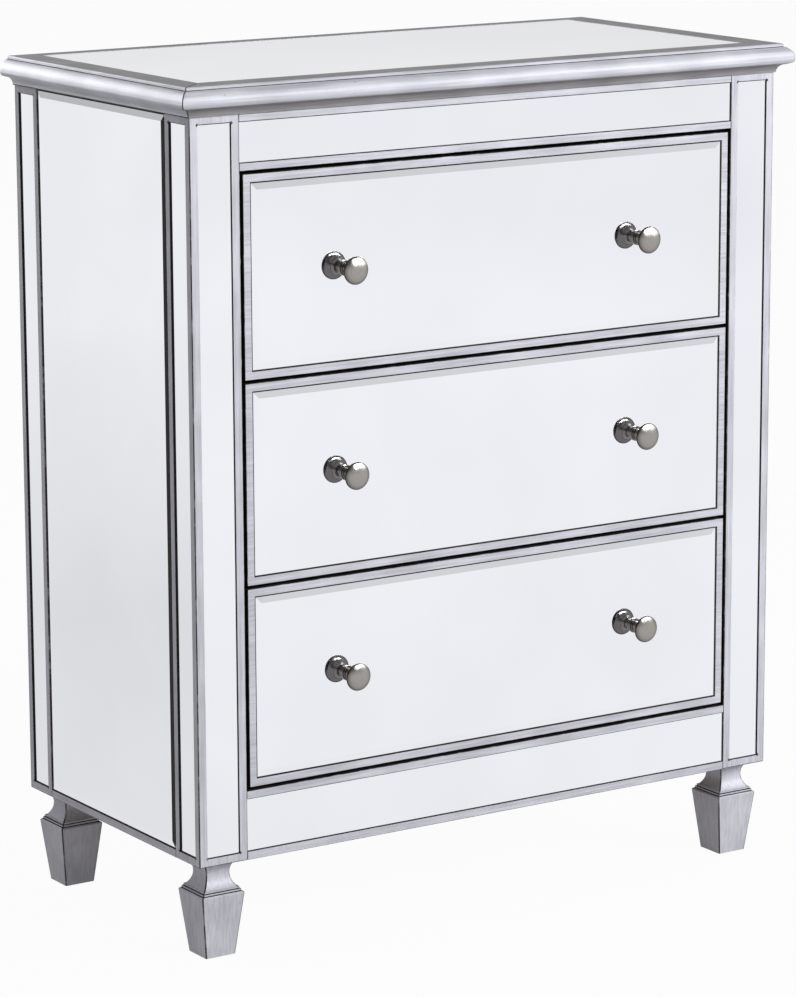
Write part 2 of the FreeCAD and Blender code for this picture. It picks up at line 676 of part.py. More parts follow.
def knob_screw(side, number):
    x, z = knob_centre(side, number)
    tip = vec(x, MIRROR_FACE_Y - KNOB_SCREW_GRIP, z)
    seat = vec(x, DRAWER_BACK_OF_FRONT, z)
    head_end = vec(x, DRAWER_BACK_OF_FRONT + KNOB_SCREW_HEAD, z)
    shank = rod(KNOB_SCREW_RADIUS, tip, seat)
    return shank.fuse(rod(KNOB_SCREW_HEAD_RADIUS, seat, head_end)).removeSplitter()


def save_case():
    frieze_z = (OPENING_TOP, CASE_TOP)
    frieze_mirror_z = (OPENING_TOP + FRIEZE_LOW_STRIP, CASE_TOP - FRIEZE_TOP_STRIP)
    apron_z = (CASE_BOTTOM, OPENING_BOTTOM)
    apron_mirror_z = (CASE_BOTTOM + APRON_BASE_STRIP, OPENING_BOTTOM - APRON_TOP_STRIP)
    save("top_board", top_board())
    save("top_mirror", top_mirror())
    save("top_back_strip", top_back_strip())
    save("top_front_moulding", front_moulding())
    save("frieze_rail", rail_board(frieze_z, frieze_mirror_z))
    save("frieze_mirror", rail_mirror(frieze_mirror_z))
    save("apron_rail", rail_board(apron_z, apron_mirror_z))
    save("apron_mirror", rail_mirror(apron_mirror_z))
    save("bottom_board", bottom_board())
    save("back_panel", back_panel())
    save("back_panel_screws", *back_screws(LEFT, 0), *back_screws(RIGHT, 0))
    sides = ((LEFT, "left"), (RIGHT, "right"))
    ends = ((True, "front"), (False, "back"))
    for side, side_name in sides:
        save("top_" + side_name + "_moulding", side_moulding(side))
        save(side_name + "_side_panel", side_panel(side))
        save(side_name + "_side_mirror", side_mirror(side))
        for is_front, end_name in ends:
            save(end_name + "_" + side_name + "_post", post(side, is_front))
            save(end_name + "_" + side_name + "_foot", foot(side, is_front))
    corners = [(side, is_front) for side in (LEFT, RIGHT) for is_front in (True, False)]
    save("front_post_mirrors", front_post_mirror(LEFT), front_post_mirror(RIGHT))
    save("side_post_mirrors", *[side_post_mirror(*corner) for corner in corners])
    save("foot_bolts", *[foot_bolt(*corner, 0, 0) for corner in corners])
    numbers = range(DRAWER_COUNT)
    save("outer_runners", *[outer_runner(side, number) for side in (LEFT, RIGHT) for number in numbers])
    screws = []
    for corner in corners:
        screws += case_runner_screws(*corner, 0)
    save("runner_screws", *screws)


def save_drawer(number, name):
    save(name + "_front", drawer_front(number))
    save(name + "_mirror", drawer_mirror(number))
    save(name + "_left_side", drawer_side(LEFT, number))
    save(name + "_right_side", drawer_side(RIGHT, number))
    save(name + "_back", drawer_back(number))
    save(name + "_bottom", bottom_space(number, GROOVE_CLEARANCE))
    save(name + "_knobs", knob(LEFT, number), knob(RIGHT, number))
    save(name + "_knob_screws", knob_screw(LEFT, number), knob_screw(RIGHT, number))
    save(name + "_inner_runners", inner_runner(LEFT, number), inner_runner(RIGHT, number))
    save(name + "_mid_runners", mid_runner(LEFT, number), mid_runner(RIGHT, number))


os.makedirs("parts", exist_ok=True)
save_case()
for drawer_number, drawer_name in enumerate(DRAWER_NAMES):
    save_drawer(drawer_number, drawer_name)
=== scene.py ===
import json
import math
from functools import partial

import bmesh
import bpy
from mathutils import Matrix, Vector

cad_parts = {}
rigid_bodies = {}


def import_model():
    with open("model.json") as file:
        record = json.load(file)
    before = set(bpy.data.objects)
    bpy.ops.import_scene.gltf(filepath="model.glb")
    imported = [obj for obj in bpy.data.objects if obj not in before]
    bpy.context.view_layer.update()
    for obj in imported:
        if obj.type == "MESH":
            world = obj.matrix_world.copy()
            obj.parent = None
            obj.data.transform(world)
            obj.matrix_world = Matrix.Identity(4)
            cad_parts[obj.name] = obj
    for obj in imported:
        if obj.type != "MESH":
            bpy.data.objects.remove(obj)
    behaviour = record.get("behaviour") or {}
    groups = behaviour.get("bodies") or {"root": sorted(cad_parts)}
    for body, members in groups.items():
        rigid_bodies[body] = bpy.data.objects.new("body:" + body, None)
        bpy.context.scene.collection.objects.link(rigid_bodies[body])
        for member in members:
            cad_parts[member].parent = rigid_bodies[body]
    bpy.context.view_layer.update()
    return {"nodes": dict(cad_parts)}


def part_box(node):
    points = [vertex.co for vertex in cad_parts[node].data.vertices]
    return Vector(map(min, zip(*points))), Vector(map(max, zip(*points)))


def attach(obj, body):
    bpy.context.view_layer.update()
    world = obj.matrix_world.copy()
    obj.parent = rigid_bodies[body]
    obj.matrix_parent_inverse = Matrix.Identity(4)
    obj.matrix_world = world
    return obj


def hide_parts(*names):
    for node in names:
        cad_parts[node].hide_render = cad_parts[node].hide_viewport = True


bl_info = {
    "name": "Mirrored Chest",
    "version": (1, 0, 0),
    "blender": (4, 5, 0),
    "location": "View3D > Sidebar > Chest",
    "description": "Dresses the packed chest of drawers in painted frames, mirror glass and turned knobs",
    "category": "Object",
}

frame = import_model()
DRAWERS = ("top_drawer", "middle_drawer", "bottom_drawer")

# Material slots of every painted piece: the paint, the dark glaze that also paints shade, the rubbed edge,
# and a darker paint that is painted shade
PAINT, GLAZE_AND_SHADE, RUBBED, PAINTED_SHADE = range(4)

# Directions
RIGHT = Vector((1, 0, 0))
BACK = Vector((0, 1, 0))
UP = Vector((0, 0, 1))

# Selection by place allows for this much rounding
SLACK = 0.00002
# Points closer than this are one
TOUCHING = 1e-6

# Least cosine at which a face looks, or an edge runs, in a direction; the feet's edges lean
FACING = 0.99
RUNNING = 0.5
LEANING = 0.3

# Flatter edges than the first are shaded smooth, and flatter ones than the second aren't rounded
SMOOTH_ANGLE = math.radians(30)
SHARP_ANGLE = math.radians(35)
EASE_SEGMENTS = 3

# Straight steps in the curves of the profiles
COVE_STEPS = 12
NOSE_STEPS = 8
ROUND_STEPS = 14
NECK_STEPS = 16
BELL_STEPS = 14
RIM_STEPS = 4
DOME_STEPS = 24
KNOB_SIDES = 64
# Rise of a quarter circle as a share of its chord
QUARTER_BULGE = 0.207
# How far up a knob's collar its turned line starts, is deepest and ends, and its edge begins
COLLAR_LINE_SHARES = (0.35, 0.45, 0.55, 0.65, 0.85)
# Turning lines lie wider apart along the knob's axis than across its face
TURNING_SHARE = 0.4
# Power by which the painted shade fades from the knob's rim to the middle of its face
RIM_SHADE_FADE = 6

# What mirrors and metal see of the world: height of the direction and strength there
SWEEP_BEHIND = ((0.03, 0.55), (0.11, 0.88), (0.2, 0.9), (0.6, 0.45))
SWEEP_BEFORE = ((0.1, 0.74), (0.26, 0.26), (0.5, 0.2), (0.85, 0.7))
# Between these shares of a direction the world goes from front to back, brightens at the right,
# and gains strength from left to right
FRONT_TO_BACK = (-0.3, 0.3)
BRIGHT_RIGHT = (0.58, 0.72)
LEFT_TO_RIGHT = (-0.4, 0.8)

# What each lamp is, where it stands, where it points, its width, height and watts
LAMPS = {
    "key": ("the lamp in front", (2.6, -4.0, 2.5), (0, 0, 0.5), 3.2, 1.3, 235.0),
    "rim": ("the lamp behind", (-1.3, 2.6, 2.1), (-0.2, 0, 0.7), 2.2, 2.2, 34.0),
    "glint": ("the lamp seen only in the mouldings", (-1.5, 2.6, 1.75), (-0.4, 0, 0.95), 2.4, 2.0, 125.0),
    "flare": ("the lamp seen only in the knobs", (3.4, -1.8, 1.8), (0, -0.2, 0.55), 2.4, 1.6, 30.0),
}
# Sensor's longer side in millimetres, and how far the camera sees in metres
SENSOR = 36.0
SIGHT = 200.0


def linear(hex_code):
    """Turn an sRGB hex colour into linear red, green, blue and full alpha."""
    shares = [int(hex_code[start:start + 2], 16) / 255 for start in (1, 3, 5)]
    return [s / 12.92 if s <= 0.04045 else ((s + 0.055) / 1.055) ** 2.4 for s in shares] + [1.0]


# Kinds of property, which named() finishes with a name

def length(description, default):
    return partial(bpy.props.FloatProperty, description=description, default=default, min=0.0,
                   precision=5, unit="LENGTH", subtype="DISTANCE")


def share(description, default):
    return partial(bpy.props.FloatProperty, description=description, default=default, min=0.0, max=1.0,
                   subtype="FACTOR")


def point(description, default):
    return partial(bpy.props.FloatVectorProperty, description=description, default=default, size=3,
                   precision=5, unit="LENGTH", subtype="TRANSLATION")


def power(description, default):
    return partial(bpy.props.FloatProperty, description=description, default=default, min=0.0, unit="POWER")


def hue(description, hex_code):
    return partial(bpy.props.FloatVectorProperty, description=description, default=linear(hex_code),
                   size=4, min=0.0, max=1.0, subtype="COLOR")


def named(group):
    """Make the properties of a group, each with the name that its identifier spells."""
    for identifier, make in group.__annotations__.items():
        group.__annotations__[identifier] = make(name=identifier.replace("_", " ").capitalize())
    return group


def with_lamps(group):
    """Give a group the place, aim, size and power of each lamp."""
    for lamp, (use, place, aim, width, height, watts) in LAMPS.items():
        group.__annotations__.update({
            lamp + "_place": point(f"Where {use} stands", place),
            lamp + "_aim": point(f"Where {use} points", aim),
            lamp + "_width": length(f"Width of {use}", width),
            lamp + "_height": length(f"Height of {use}", height),
            lamp + "_power": power(f"Power of {use}", watts),
        })
    return group


@named
class CHEST_PG_joinery(bpy.types.PropertyGroup):
    """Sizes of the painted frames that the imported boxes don't give"""

    strip_clearance: length("Gap round a plain mirror strip in its groove", 0.0003)
    bevel_clearance: length("Gap round a bevelled mirror in its recess", 0.0005)
    rabbet: length("Width of the back posts' rabbet for the back panel", 0.010)
    ease: length("Rounding on the arrises of painted boards", 0.0006)
    post_ease: length("Rounding on the arrises of the posts", 0.0011)
    # Painted shade: the dark line along the bevelled mirrors
    glaze_line: length("Width of the dark line along the bevelled mirrors", 0.0012)
    # Painted reflection: a dark film over the side mirror's front bevel stands for a dark thing reflected
    # there
    lap_width: length("Width of the glaze over a side mirror's front bevel", 0.007)
    lap_depth: length("Thickness of the glaze over a side mirror's front bevel", 0.00015)
    # Painted shade: the dark line along the plain mirror strips
    groove_line: length("Width of the dark line along the plain mirror strips", 0.0008)


@named
class CHEST_PG_moulding(bpy.types.PropertyGroup):
    """Profile of the moulding round the top, measured out from the case and up from its top"""

    cove_foot: length("Reach of the flat under the cove", 0.002)
    # Painted shade: the dark line along the side coves' foot
    foot_line: length("Height of the dark line along the side coves' foot", 0.0007)
    cove_reach: length("Reach of the cove's upper edge", 0.0105)
    cove_height: length("Height of the cove's upper edge", 0.0095)
    nose_undercut: length("How far the nose's lower edge stays behind it", 0.0025)
    nose_low_rise: length("Height of the nose's lower edge over the cove", 0.0015)
    nose_rise: length("Height of the nose over the cove", 0.007)
    shoulder_reach: length("Reach of the quarter round's upper edge", 0.009)
    shoulder_drop: length("Depth of the quarter round's upper edge under the top", 0.0038)
    edge_reach: length("Reach of the fillet under the top's edge", 0.0078)
    edge_chamfer: length("Chamfer on the top's edge", 0.001)
    # Painted shade: the dark line over the quarter round
    quirk_line: length("Height of the dark line over the quarter round", 0.0006)
    mitre_gap: length("Open joint between two lengths", 0.0004)
    mitre_line: length("Width of the dark line on each side of the joint", 0.0006)
    spare: length("Extra length at each end, which the mitre cuts take off", 0.02)
    ease: length("Rounding on the profile's arrises", 0.0004)
    cove_bulge: share("Depth of the cove as a share of its chord", 0.2)
    nose_bulge: share("Rise of the nose as a share of its chord", 0.16)
    round_bulge: share("Rise of the quarter round as a share of its chord", 0.16)


@named
class CHEST_PG_foot(bpy.types.PropertyGroup):
    """Sizes across and up one foot"""

    block_bottom: length("Width of the tapered block on the floor", 0.0375)
    block_top: length("Width of the tapered block at its widest", 0.054)
    block_height: length("Height of the block", 0.073)
    block_ease: length("Chamfer round the block's top", 0.0015)
    fillet: length("Width of the lower step", 0.0485)
    ledge: length("Width of the upper step", 0.0455)
    step: length("Height of each step", 0.0025)
    neck_base: length("Width of the neck over the steps", 0.043)
    neck_top: length("Width of the neck under the case", 0.041)
    neck_lip: length("Height of the flat under the case", 0.0015)
    # Painted shade: the dark line at the root of each step
    root: length("Height of the dark line at the root of each step", 0.0008)
    ease: length("Rounding on the foot's arrises", 0.0012)
    neck_bulge: share("Depth of the neck's hollow as a share of its chord", 0.2)


@named
class CHEST_PG_knob(bpy.types.PropertyGroup):
    """Profile of one turned knob, measured out from the mirror"""

    head_radius: length("Radius of the head", 0.0155)
    rim: length("Height of the head's straight edge", 0.002)
    dome: length("Rise of the head's domed face", 0.0035)
    collar_radius: length("Radius of the collar on the glass", 0.0085)
    collar: length("Height of the collar", 0.0022)
    groove: length("Depth of the line turned round the collar", 0.0004)
    neck_radius: length("Radius of the neck", 0.006)
    neck: length("Length of the neck", 0.009)
    ease: length("Rounding on the head's rim", 0.0006)
    bell_bulge: share("Hollow of the bell as a share of its chord", 0.2)
    # Painted shade behind the knob's head, as a share of the rim's
    patina_behind: share("Least patina behind the head, as a share of the rim's", 0.5)


@named
class CHEST_PG_colours(bpy.types.PropertyGroup):
    """Colours of the finishes"""

    silver_light: hue("Silver paint where it lies thick", "#CFCFD8")
    silver_dark: hue("Silver paint where it was rubbed thin", "#B2B2BB")
    # Painted shade: these darker greys go on the coves, under the nose and on the flat tops, where less
    # light falls
    washed_light: hue("Silver paint under a thin wash of glaze", "#979598")
    washed_dark: hue("Silver paint under a fuller wash of glaze", "#7A787A")
    # The glaze colour also stands for painted shade in recesses, gaps and creases
    glaze: hue("Dark glaze left in recesses and nicks", "#14110F")
    rubbed: hue("Arris where the glaze shows through the paint", "#3E3836")
    mirror: hue("Silvered glass", "#F0F1F6")
    mirror_cloud: hue("Silvered glass where it is a little duller", "#ECEDF2")
    nickel: hue("Satin nickel", "#A4A19E")
    nickel_dark: hue("Satin nickel in the turning lines", "#97938F")
    # Painted shade: this dark nickel stands for the dark reflections on the knob's rim and behind its head
    nickel_patina: hue("Satin nickel darkened by age, on the rim and behind it", "#383431")
    zinc: hue("Zinc-plated steel", "#B9BCC0")
    zinc_dark: hue("Zinc-plated steel in its darker spangles", "#A3A6AB")
    ply: hue("Lacquered birch plywood", "#D9BE93")
    ply_dark: hue("Grain and glue lines of the plywood", "#B58F5E")
    hardboard: hue("Raw hardboard", "#9A7A56")
    hardboard_dark: hue("Fibres of the hardboard", "#79593A")
    fibreboard: hue("Raw fibreboard", "#B39A78")
    fibreboard_dark: hue("Fibres of the fibreboard", "#9C8261")
    floor: hue("Pale studio floor", "#BCBCBC")


@named
@with_lamps
class CHEST_PG_studio(bpy.types.PropertyGroup):
    """Camera, lamps and floor"""

    lens: partial(bpy.props.FloatProperty, description="Focal length in millimetres", default=148.5,
                  min=1.0, unit="CAMERA", subtype="DISTANCE_CAMERA")
    camera_place: point("Where the camera stands", (-2.5526, -3.9089, 1.4434))
    camera_turn: partial(bpy.props.FloatVectorProperty, description="How the camera is turned", size=3,
                         default=[math.radians(angle) for angle in (77.928, 0.238, -33.083)],
                         subtype="EULER", unit="ROTATION")
    fill_left: share("Strength of the world's light from the left", 0.2)
    fill_right: share("Strength of the world's light from the right", 0.42)
    floor_size: length("Length of the floor's sides", 80.0)
    floor_glow: share("Share of the floor that is plain white to the camera", 0.96)
    floor_sheen: share("Share of the floor that is plain white in reflections", 0.96)
    # Painted shadow: in reflections the floor is greyer round this point, behind the left side
    shade_place: point("Middle of the patch of floor that the chest shades", (-1.1, 1.3, 0.0))
    shade_reach: length("Radius of the shaded patch", 2.6)
    shade_sheen: share("Share that is plain white in reflections of the patch's middle", 0.72)


# Selecting and shaping, always on the active object

def select_only(piece):
    bpy.ops.object.select_all(action="DESELECT")
    piece.select_set(True)
    bpy.context.view_layer.objects.active = piece


def edit(piece):
    select_only(piece)
    bpy.ops.object.mode_set(mode="EDIT")


def leave_edit():
    bpy.ops.object.mode_set(mode="OBJECT")


def apply_transforms():
    bpy.ops.object.transform_apply(location=True, rotation=True, scale=True)


def in_box(place, low, high):
    return all(low[axis] - SLACK <= place[axis] <= high[axis] + SLACK for axis in range(3))


def middle_of(face):
    return face.calc_center_median()


def pick(piece, test, kind="FACE"):
    """In edit mode, select just the faces, edges or vertices that pass a test."""
    bpy.ops.mesh.select_mode(type=kind)
    bpy.ops.mesh.select_all(action="DESELECT")
    mesh = bmesh.from_edit_mesh(piece.data)
    groups = {"FACE": mesh.faces, "EDGE": mesh.edges, "VERT": mesh.verts}
    found = [item for item in groups[kind] if test(item)]
    if not found:
        raise RuntimeError(f"{piece.name}: nothing lies where a cut was expected")
    for item in found:
        item.select_set(True)
    mesh.select_flush_mode()
    bmesh.update_edit_mesh(piece.data)


def cut_at(place, normal, clear=False):
    """In edit mode, cut the whole mesh on a plane; clear takes away what lies on the normal's side."""
    bpy.ops.mesh.select_all(action="SELECT")
    bpy.ops.mesh.bisect(plane_co=place, plane_no=normal, clear_outer=clear, use_fill=clear,
                        threshold=TOUCHING)


def extrude(offset):
    bpy.ops.mesh.extrude_region_move(TRANSFORM_OT_translate={"value": offset})


def add_block(name, low, high):
    """A cube stretched between two corners."""
    bpy.ops.object.select_all(action="DESELECT")
    bpy.ops.mesh.primitive_cube_add(size=1, location=(low + high) / 2, scale=high - low)
    apply_transforms()
    piece = bpy.context.object
    piece.name = name
    piece.data.name = name
    return piece


def free_part(piece, outward, low, high):
    """Go into edit mode, cut the part of the outward face that lies in a box free and select it."""
    edit(piece)
    for axis in range(3):
        if abs(outward[axis]) > RUNNING:
            continue
        for limit in (low[axis], high[axis]):
            normal = Vector((0, 0, 0))
            normal[axis] = 1
            cut_at(normal * limit, normal)
    pick(piece, lambda f: f.normal.dot(outward) > FACING and in_box(middle_of(f), low, high))


def shift_part(piece, outward, low, high, distance):
    """Push out, or sink, the part of the outward face that lies in a box."""
    free_part(piece, outward, low, high)
    extrude(outward * distance)
    leave_edit()


def assign(piece, slot):
    """Give a material slot to the selected faces and leave edit mode."""
    piece.active_material_index = slot
    bpy.ops.object.material_slot_assign()
    leave_edit()


def shade_part(piece, outward, low, high):
    """Paint the part of the outward face that lies in a box dark with the glaze, as painted shade."""
    free_part(piece, outward, low, high)
    assign(piece, GLAZE_AND_SHADE)


def give_slot(piece, slot, test):
    """Give a material slot to the faces that pass a test."""
    edit(piece)
    pick(piece, test)
    assign(piece, slot)


def sink_groove(piece, outward, low, high):
    """Sink a box-shaped groove into the outward face and paint its inside dark with the glaze, as painted
    shade.
    """
    depth = abs((high - low).dot(outward))
    shift_part(piece, outward, low, high, -depth)
    give_slot(piece, GLAZE_AND_SHADE, lambda f: in_box(middle_of(f), low, high))


def grow(steps, direction):
    """Pull the selected end face along a direction ring by ring; each step is (height, width)."""
    height, width = steps[0]
    across = [1 - abs(direction[axis]) for axis in range(3)]
    for next_height, next_width in steps[1:]:
        extrude(direction * (next_height - height))
        ratio = next_width / width
        factors = [1 + (ratio - 1) * part for part in across]
        bpy.ops.transform.resize(value=factors, center_override=(0, 0, 0))
        height, width = next_height, next_width


def arc_points(start, end, bulge_share, steps):
    """Points after the start on an arc that stands off its chord, to the left for a positive share."""
    start, end = Vector(start), Vector(end)
    chord = end - start
    half_angle = 2 * math.atan(2 * bulge_share)
    left = Vector((-chord.y, chord.x)).normalized()
    centre = (start + end) / 2 - left * chord.length / 2 / math.tan(half_angle)
    turns = [-2 * half_angle * number / steps for number in range(1, steps + 1)]
    return [tuple(centre + Matrix.Rotation(turn, 2) @ (start - centre)) for turn in turns]


def clean(piece):
    """Merge doubles and turn every face outward."""
    edit(piece)
    bpy.ops.mesh.select_all(action="SELECT")
    bpy.ops.mesh.remove_doubles(threshold=TOUCHING)
    bpy.ops.mesh.normals_make_consistent(inside=False)
    leave_edit()


def ease_edges(piece, width, slot, wanted):
    """Round the arrises whose middle and direction pass a test, and leave them in a material slot."""
    def is_wanted(edge):
        if not edge.is_convex or edge.calc_face_angle() < SHARP_ANGLE:
            return False
        first, second = (vertex.co for vertex in edge.verts)
        return wanted((first + second) / 2, (second - first).normalized())

    select_only(piece)
    bpy.ops.object.shade_smooth_by_angle(angle=SMOOTH_ANGLE)
    edit(piece)
    pick(piece, is_wanted, "EDGE")
    bpy.ops.mesh.bevel(offset=width, segments=EASE_SEGMENTS, affect="EDGES", material=slot,
                       harden_normals=True)
    leave_edit()


def copy_piece(piece, name, offset=(0, 0, 0), turn=0.0, flipped=False):
    """A copy with its own mesh, moved, turned about the vertical or mirrored left to right."""
    select_only(piece)
    bpy.ops.object.duplicate()
    copy = bpy.context.object
    copy.name = name
    copy.data.name = name
    copy.location = offset
    copy.rotation_euler.z = turn
    if flipped:
        copy.scale.x = -1
    apply_transforms()
    if flipped:
        clean(copy)
    return copy


def give_paint(piece, paint):
    """Slots of a painted piece: its paint, the glaze that also paints shade in recesses and gaps, the rubbed
    edge, and the darker paint that is painted shade.
    """
    for name in (paint, "dark_glaze", "rubbed_edge", paint + "_washed"):
        piece.data.materials.append(bpy.data.materials[name])


def add_painted(name, low, high, paint):
    """A block with the slots of a painted piece."""
    piece = add_block(name, low, high)
    give_paint(piece, paint)
    return piece


def settle(piece, body, slot, *nodes):
    """Let a finished piece move with its body, in place of its CAD nodes."""
    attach(piece, body)
    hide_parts(*nodes)


def settle_both_sides(left, left_node):
    """Copy a left piece of the case to the right, and settle both."""
    right_node = left_node.replace("left", "right")
    right = copy_piece(left, right_node + "_painted", flipped=True)
    settle(left, "case", "silver_paint", left_node)
    settle(right, "case", "silver_paint", right_node)


# Materials

def grey(value):
    return (value, value, value, 1.0)


def set_inputs(node, inputs):
    """Set each input to a value, or link it to a socket or to the first output of another node."""
    for key, value in inputs.items():
        if isinstance(value, bpy.types.Node):
            value = value.outputs[0]
        if isinstance(value, bpy.types.NodeSocket):
            node.id_data.links.new(value, node.inputs[key])
        else:
            node.inputs[key].default_value = value


def add_node(tree, kind, inputs, stops=(), **settings):
    """Add a node with its options and inputs, and a ramp's stops as positions and colours or greys."""
    node = tree.nodes.new("ShaderNode" + kind)
    for name, value in settings.items():
        setattr(node, name, value)
    for number, (position, colour) in enumerate(stops):
        elements = node.color_ramp.elements
        stop = elements[number] if number < len(elements) else elements.new(position)
        stop.position = position
        stop.color = grey(colour) if isinstance(colour, float) else colour
    set_inputs(node, inputs)
    return node


def empty_tree(owner):
    """Empty the node tree of a material or world; what comes back adds nodes to it."""
    owner.use_nodes = True
    owner.node_tree.nodes.clear()
    return partial(add_node, owner.node_tree)


def new_material(name):
    """A material: what adds nodes to it, the coordinates of its patterns and its shader."""
    add = empty_tree(bpy.data.materials.new(name))
    place = add("TexCoord", {}).outputs["Object"]
    shader = add("BsdfPrincipled", {})
    add("OutputMaterial", {"Surface": shader})
    return add, place, shader


def silver_paint(name, light, dark, nick, scales):
    """Aluminium paint brushed along the board: soft sheen, fine streaks, cloudy tone, a few dark nicks."""
    add, place, shader = new_material(name)
    along = add("Mapping", {"Vector": place, "Scale": scales})
    streaks = add("TexNoise", {"Vector": along, "Scale": 1.0, "Detail": 4.0, "Roughness": 0.6})
    # Clouds about 60 mm across
    clouds = add("TexNoise", {"Vector": place, "Scale": 16.0, "Detail": 4.0})
    tone = add("Mix", {0: 0.6, 2: clouds, 3: streaks})
    silver = add("ValToRGB", {"Fac": tone}, ((0.38, dark), (0.62, light)))
    # Nicks about 2 mm long, a few to the hand's breadth
    specks = add("TexNoise", {"Vector": place, "Scale": 160.0})
    nicks = add("ValToRGB", {"Fac": specks}, ((0.73, 0.0), (0.79, 0.4)))
    worn = add("Mix", {0: nicks, 6: silver, 7: nick}, data_type="RGBA")
    gloss = add("ValToRGB", {"Fac": streaks}, ((0.3, 0.5), (0.7, 0.6)))
    ridges = add("Bump", {"Height": streaks, "Distance": 0.00003, "Strength": 0.25})
    set_inputs(shader, {"Base Color": worn.outputs[2], "Metallic": 0.2, "Specular IOR Level": 0.3,
                        "Roughness": gloss, "Normal": ridges})


def rubbed_edge(colours):
    """Arris rubbed through to the dark glaze: an uneven dull line between paint and glaze."""
    add, place, shader = new_material("rubbed_edge")
    # Patches about 20 mm long
    wear = add("TexNoise", {"Vector": place, "Scale": 55.0, "Detail": 4.0, "Roughness": 0.6})
    tone = add("ValToRGB", {"Fac": wear}, ((0.52, colours.rubbed), (0.75, colours.silver_dark)))
    gloss = add("ValToRGB", {"Fac": wear}, ((0.3, 0.55), (0.7, 0.42)))
    set_inputs(shader, {"Base Color": tone, "Metallic": 0.2, "Specular IOR Level": 0.3, "Roughness": gloss})


def dark_glaze(colours):
    """Brown-black glaze, matt, a little lighter where it was wiped; it also paints the shade in recesses,
    gaps and creases.
    """
    add, place, shader = new_material("dark_glaze")
    # Wiping marks about 15 mm across
    wiped = add("TexNoise", {"Vector": place, "Scale": 70.0, "Detail": 3.0, "Roughness": 0.6})
    tone = add("ValToRGB", {"Fac": wiped}, ((0.45, colours.glaze), (0.95, colours.rubbed)))
    gloss = add("ValToRGB", {"Fac": wiped}, ((0.3, 0.62), (0.7, 0.75)))
    set_inputs(shader, {"Base Color": tone, "Specular IOR Level": 0.3, "Roughness": gloss})


def silvered_mirror(colours):
    """Silvered glass: a clear reflection, with the faintest cloudiness and waviness of sheet glass."""
    add, place, shader = new_material("silvered_mirror")
    # Clouds about 200 mm and waves about 110 mm across
    clouds = add("TexNoise", {"Vector": place, "Scale": 5.0})
    waves = add("TexNoise", {"Vector": place, "Scale": 9.0, "Detail": 1.0, "Roughness": 0.4})
    tone = add("ValToRGB", {"Fac": clouds}, ((0.35, colours.mirror_cloud), (0.65, colours.mirror)))
    gloss = add("ValToRGB", {"Fac": clouds}, ((0.3, 0.03), (0.7, 0.015)))
    ripple = add("Bump", {"Height": waves, "Distance": 0.00004, "Strength": 0.2})
    set_inputs(shader, {"Base Color": tone, "Metallic": 1.0, "Roughness": gloss, "Normal": ripple})


def satin_nickel(colours):
    """Satin nickel turned on a lathe: fine rings round the axis, a bright face, and painted shade that
    darkens the rim and the neck like dark reflections.
    """
    add, place, shader = new_material("satin_nickel")
    turned = add("Attribute", {}, attribute_name="turned").outputs["Fac"]
    # Rings about 0.8 mm apart, coarser than the real ones so that they show
    rings = add("TexNoise", {"W": turned, "Scale": 1200.0}, noise_dimensions="1D")
    tone = add("ValToRGB", {"Fac": rings}, ((0.3, colours.nickel_dark), (0.7, colours.nickel)))
    # Painted shade: darker nickel on the rim and behind the head stands for dark reflections
    patina = add("Attribute", {}, attribute_name="patina").outputs["Fac"]
    aged = add("Mix", {0: patina, 6: tone, 7: colours.nickel_patina}, data_type="RGBA")
    # Handling marks about 11 mm across
    handled = add("TexNoise", {"Vector": place, "Scale": 90.0})
    gloss = add("ValToRGB", {"Fac": handled}, ((0.3, 0.16), (0.7, 0.22)))
    lines = add("Bump", {"Height": rings, "Distance": 0.00001, "Strength": 0.15})
    set_inputs(shader, {"Base Color": aged.outputs[2], "Metallic": 1.0, "Roughness": gloss,
                        "Normal": lines})


def zinc_plate(colours):
    """Bright zinc plating: grey metal with faint spangles and a dull sheen."""
    add, place, shader = new_material("zinc_plate")
    # Spangles about 4.5 mm across
    spangles = add("TexVoronoi", {"Vector": place, "Scale": 220.0}).outputs["Color"]
    tone = add("ValToRGB", {"Fac": spangles}, ((0.2, colours.zinc_dark), (0.8, colours.zinc)))
    gloss = add("ValToRGB", {"Fac": spangles}, ((0.2, 0.3), (0.8, 0.42)))
    set_inputs(shader, {"Base Color": tone, "Metallic": 1.0, "Roughness": gloss})


def plywood(name, colours, grain_scales, layer_axis):
    """Lacquered birch plywood: long pale grain on its faces and thin glued layers on its edges."""
    add, place, shader = new_material(name)
    along = add("Mapping", {"Vector": place, "Scale": grain_scales})
    grain = add("TexNoise", {"Vector": along, "Scale": 1.0, "Detail": 5.0, "Roughness": 0.6})
    face = add("ValToRGB", {"Fac": grain}, ((0.3, colours.ply_dark), (0.55, colours.ply)))
    # Layers 1.5 mm thick
    layers = add("TexWave", {"Vector": place, "Scale": 210.0}, bands_direction=layer_axis).outputs["Fac"]
    edge = add("ValToRGB", {"Fac": layers}, ((0.35, colours.ply_dark), (0.65, colours.ply)))
    normal = add("NewGeometry", {}).outputs["Normal"]
    parts = add("SeparateXYZ", {"Vector": normal})
    flat = add("Math", {0: parts.outputs["Z"]}, operation="ABSOLUTE")
    tone = add("Mix", {0: flat, 6: face, 7: edge}, data_type="RGBA")
    gloss = add("ValToRGB", {"Fac": grain}, ((0.3, 0.5), (0.7, 0.38)))
    pores = add("Bump", {"Height": grain, "Distance": 0.00005, "Strength": 0.3})
    set_inputs(shader, {"Base Color": tone.outputs[2], "Roughness": gloss, "Normal": pores})


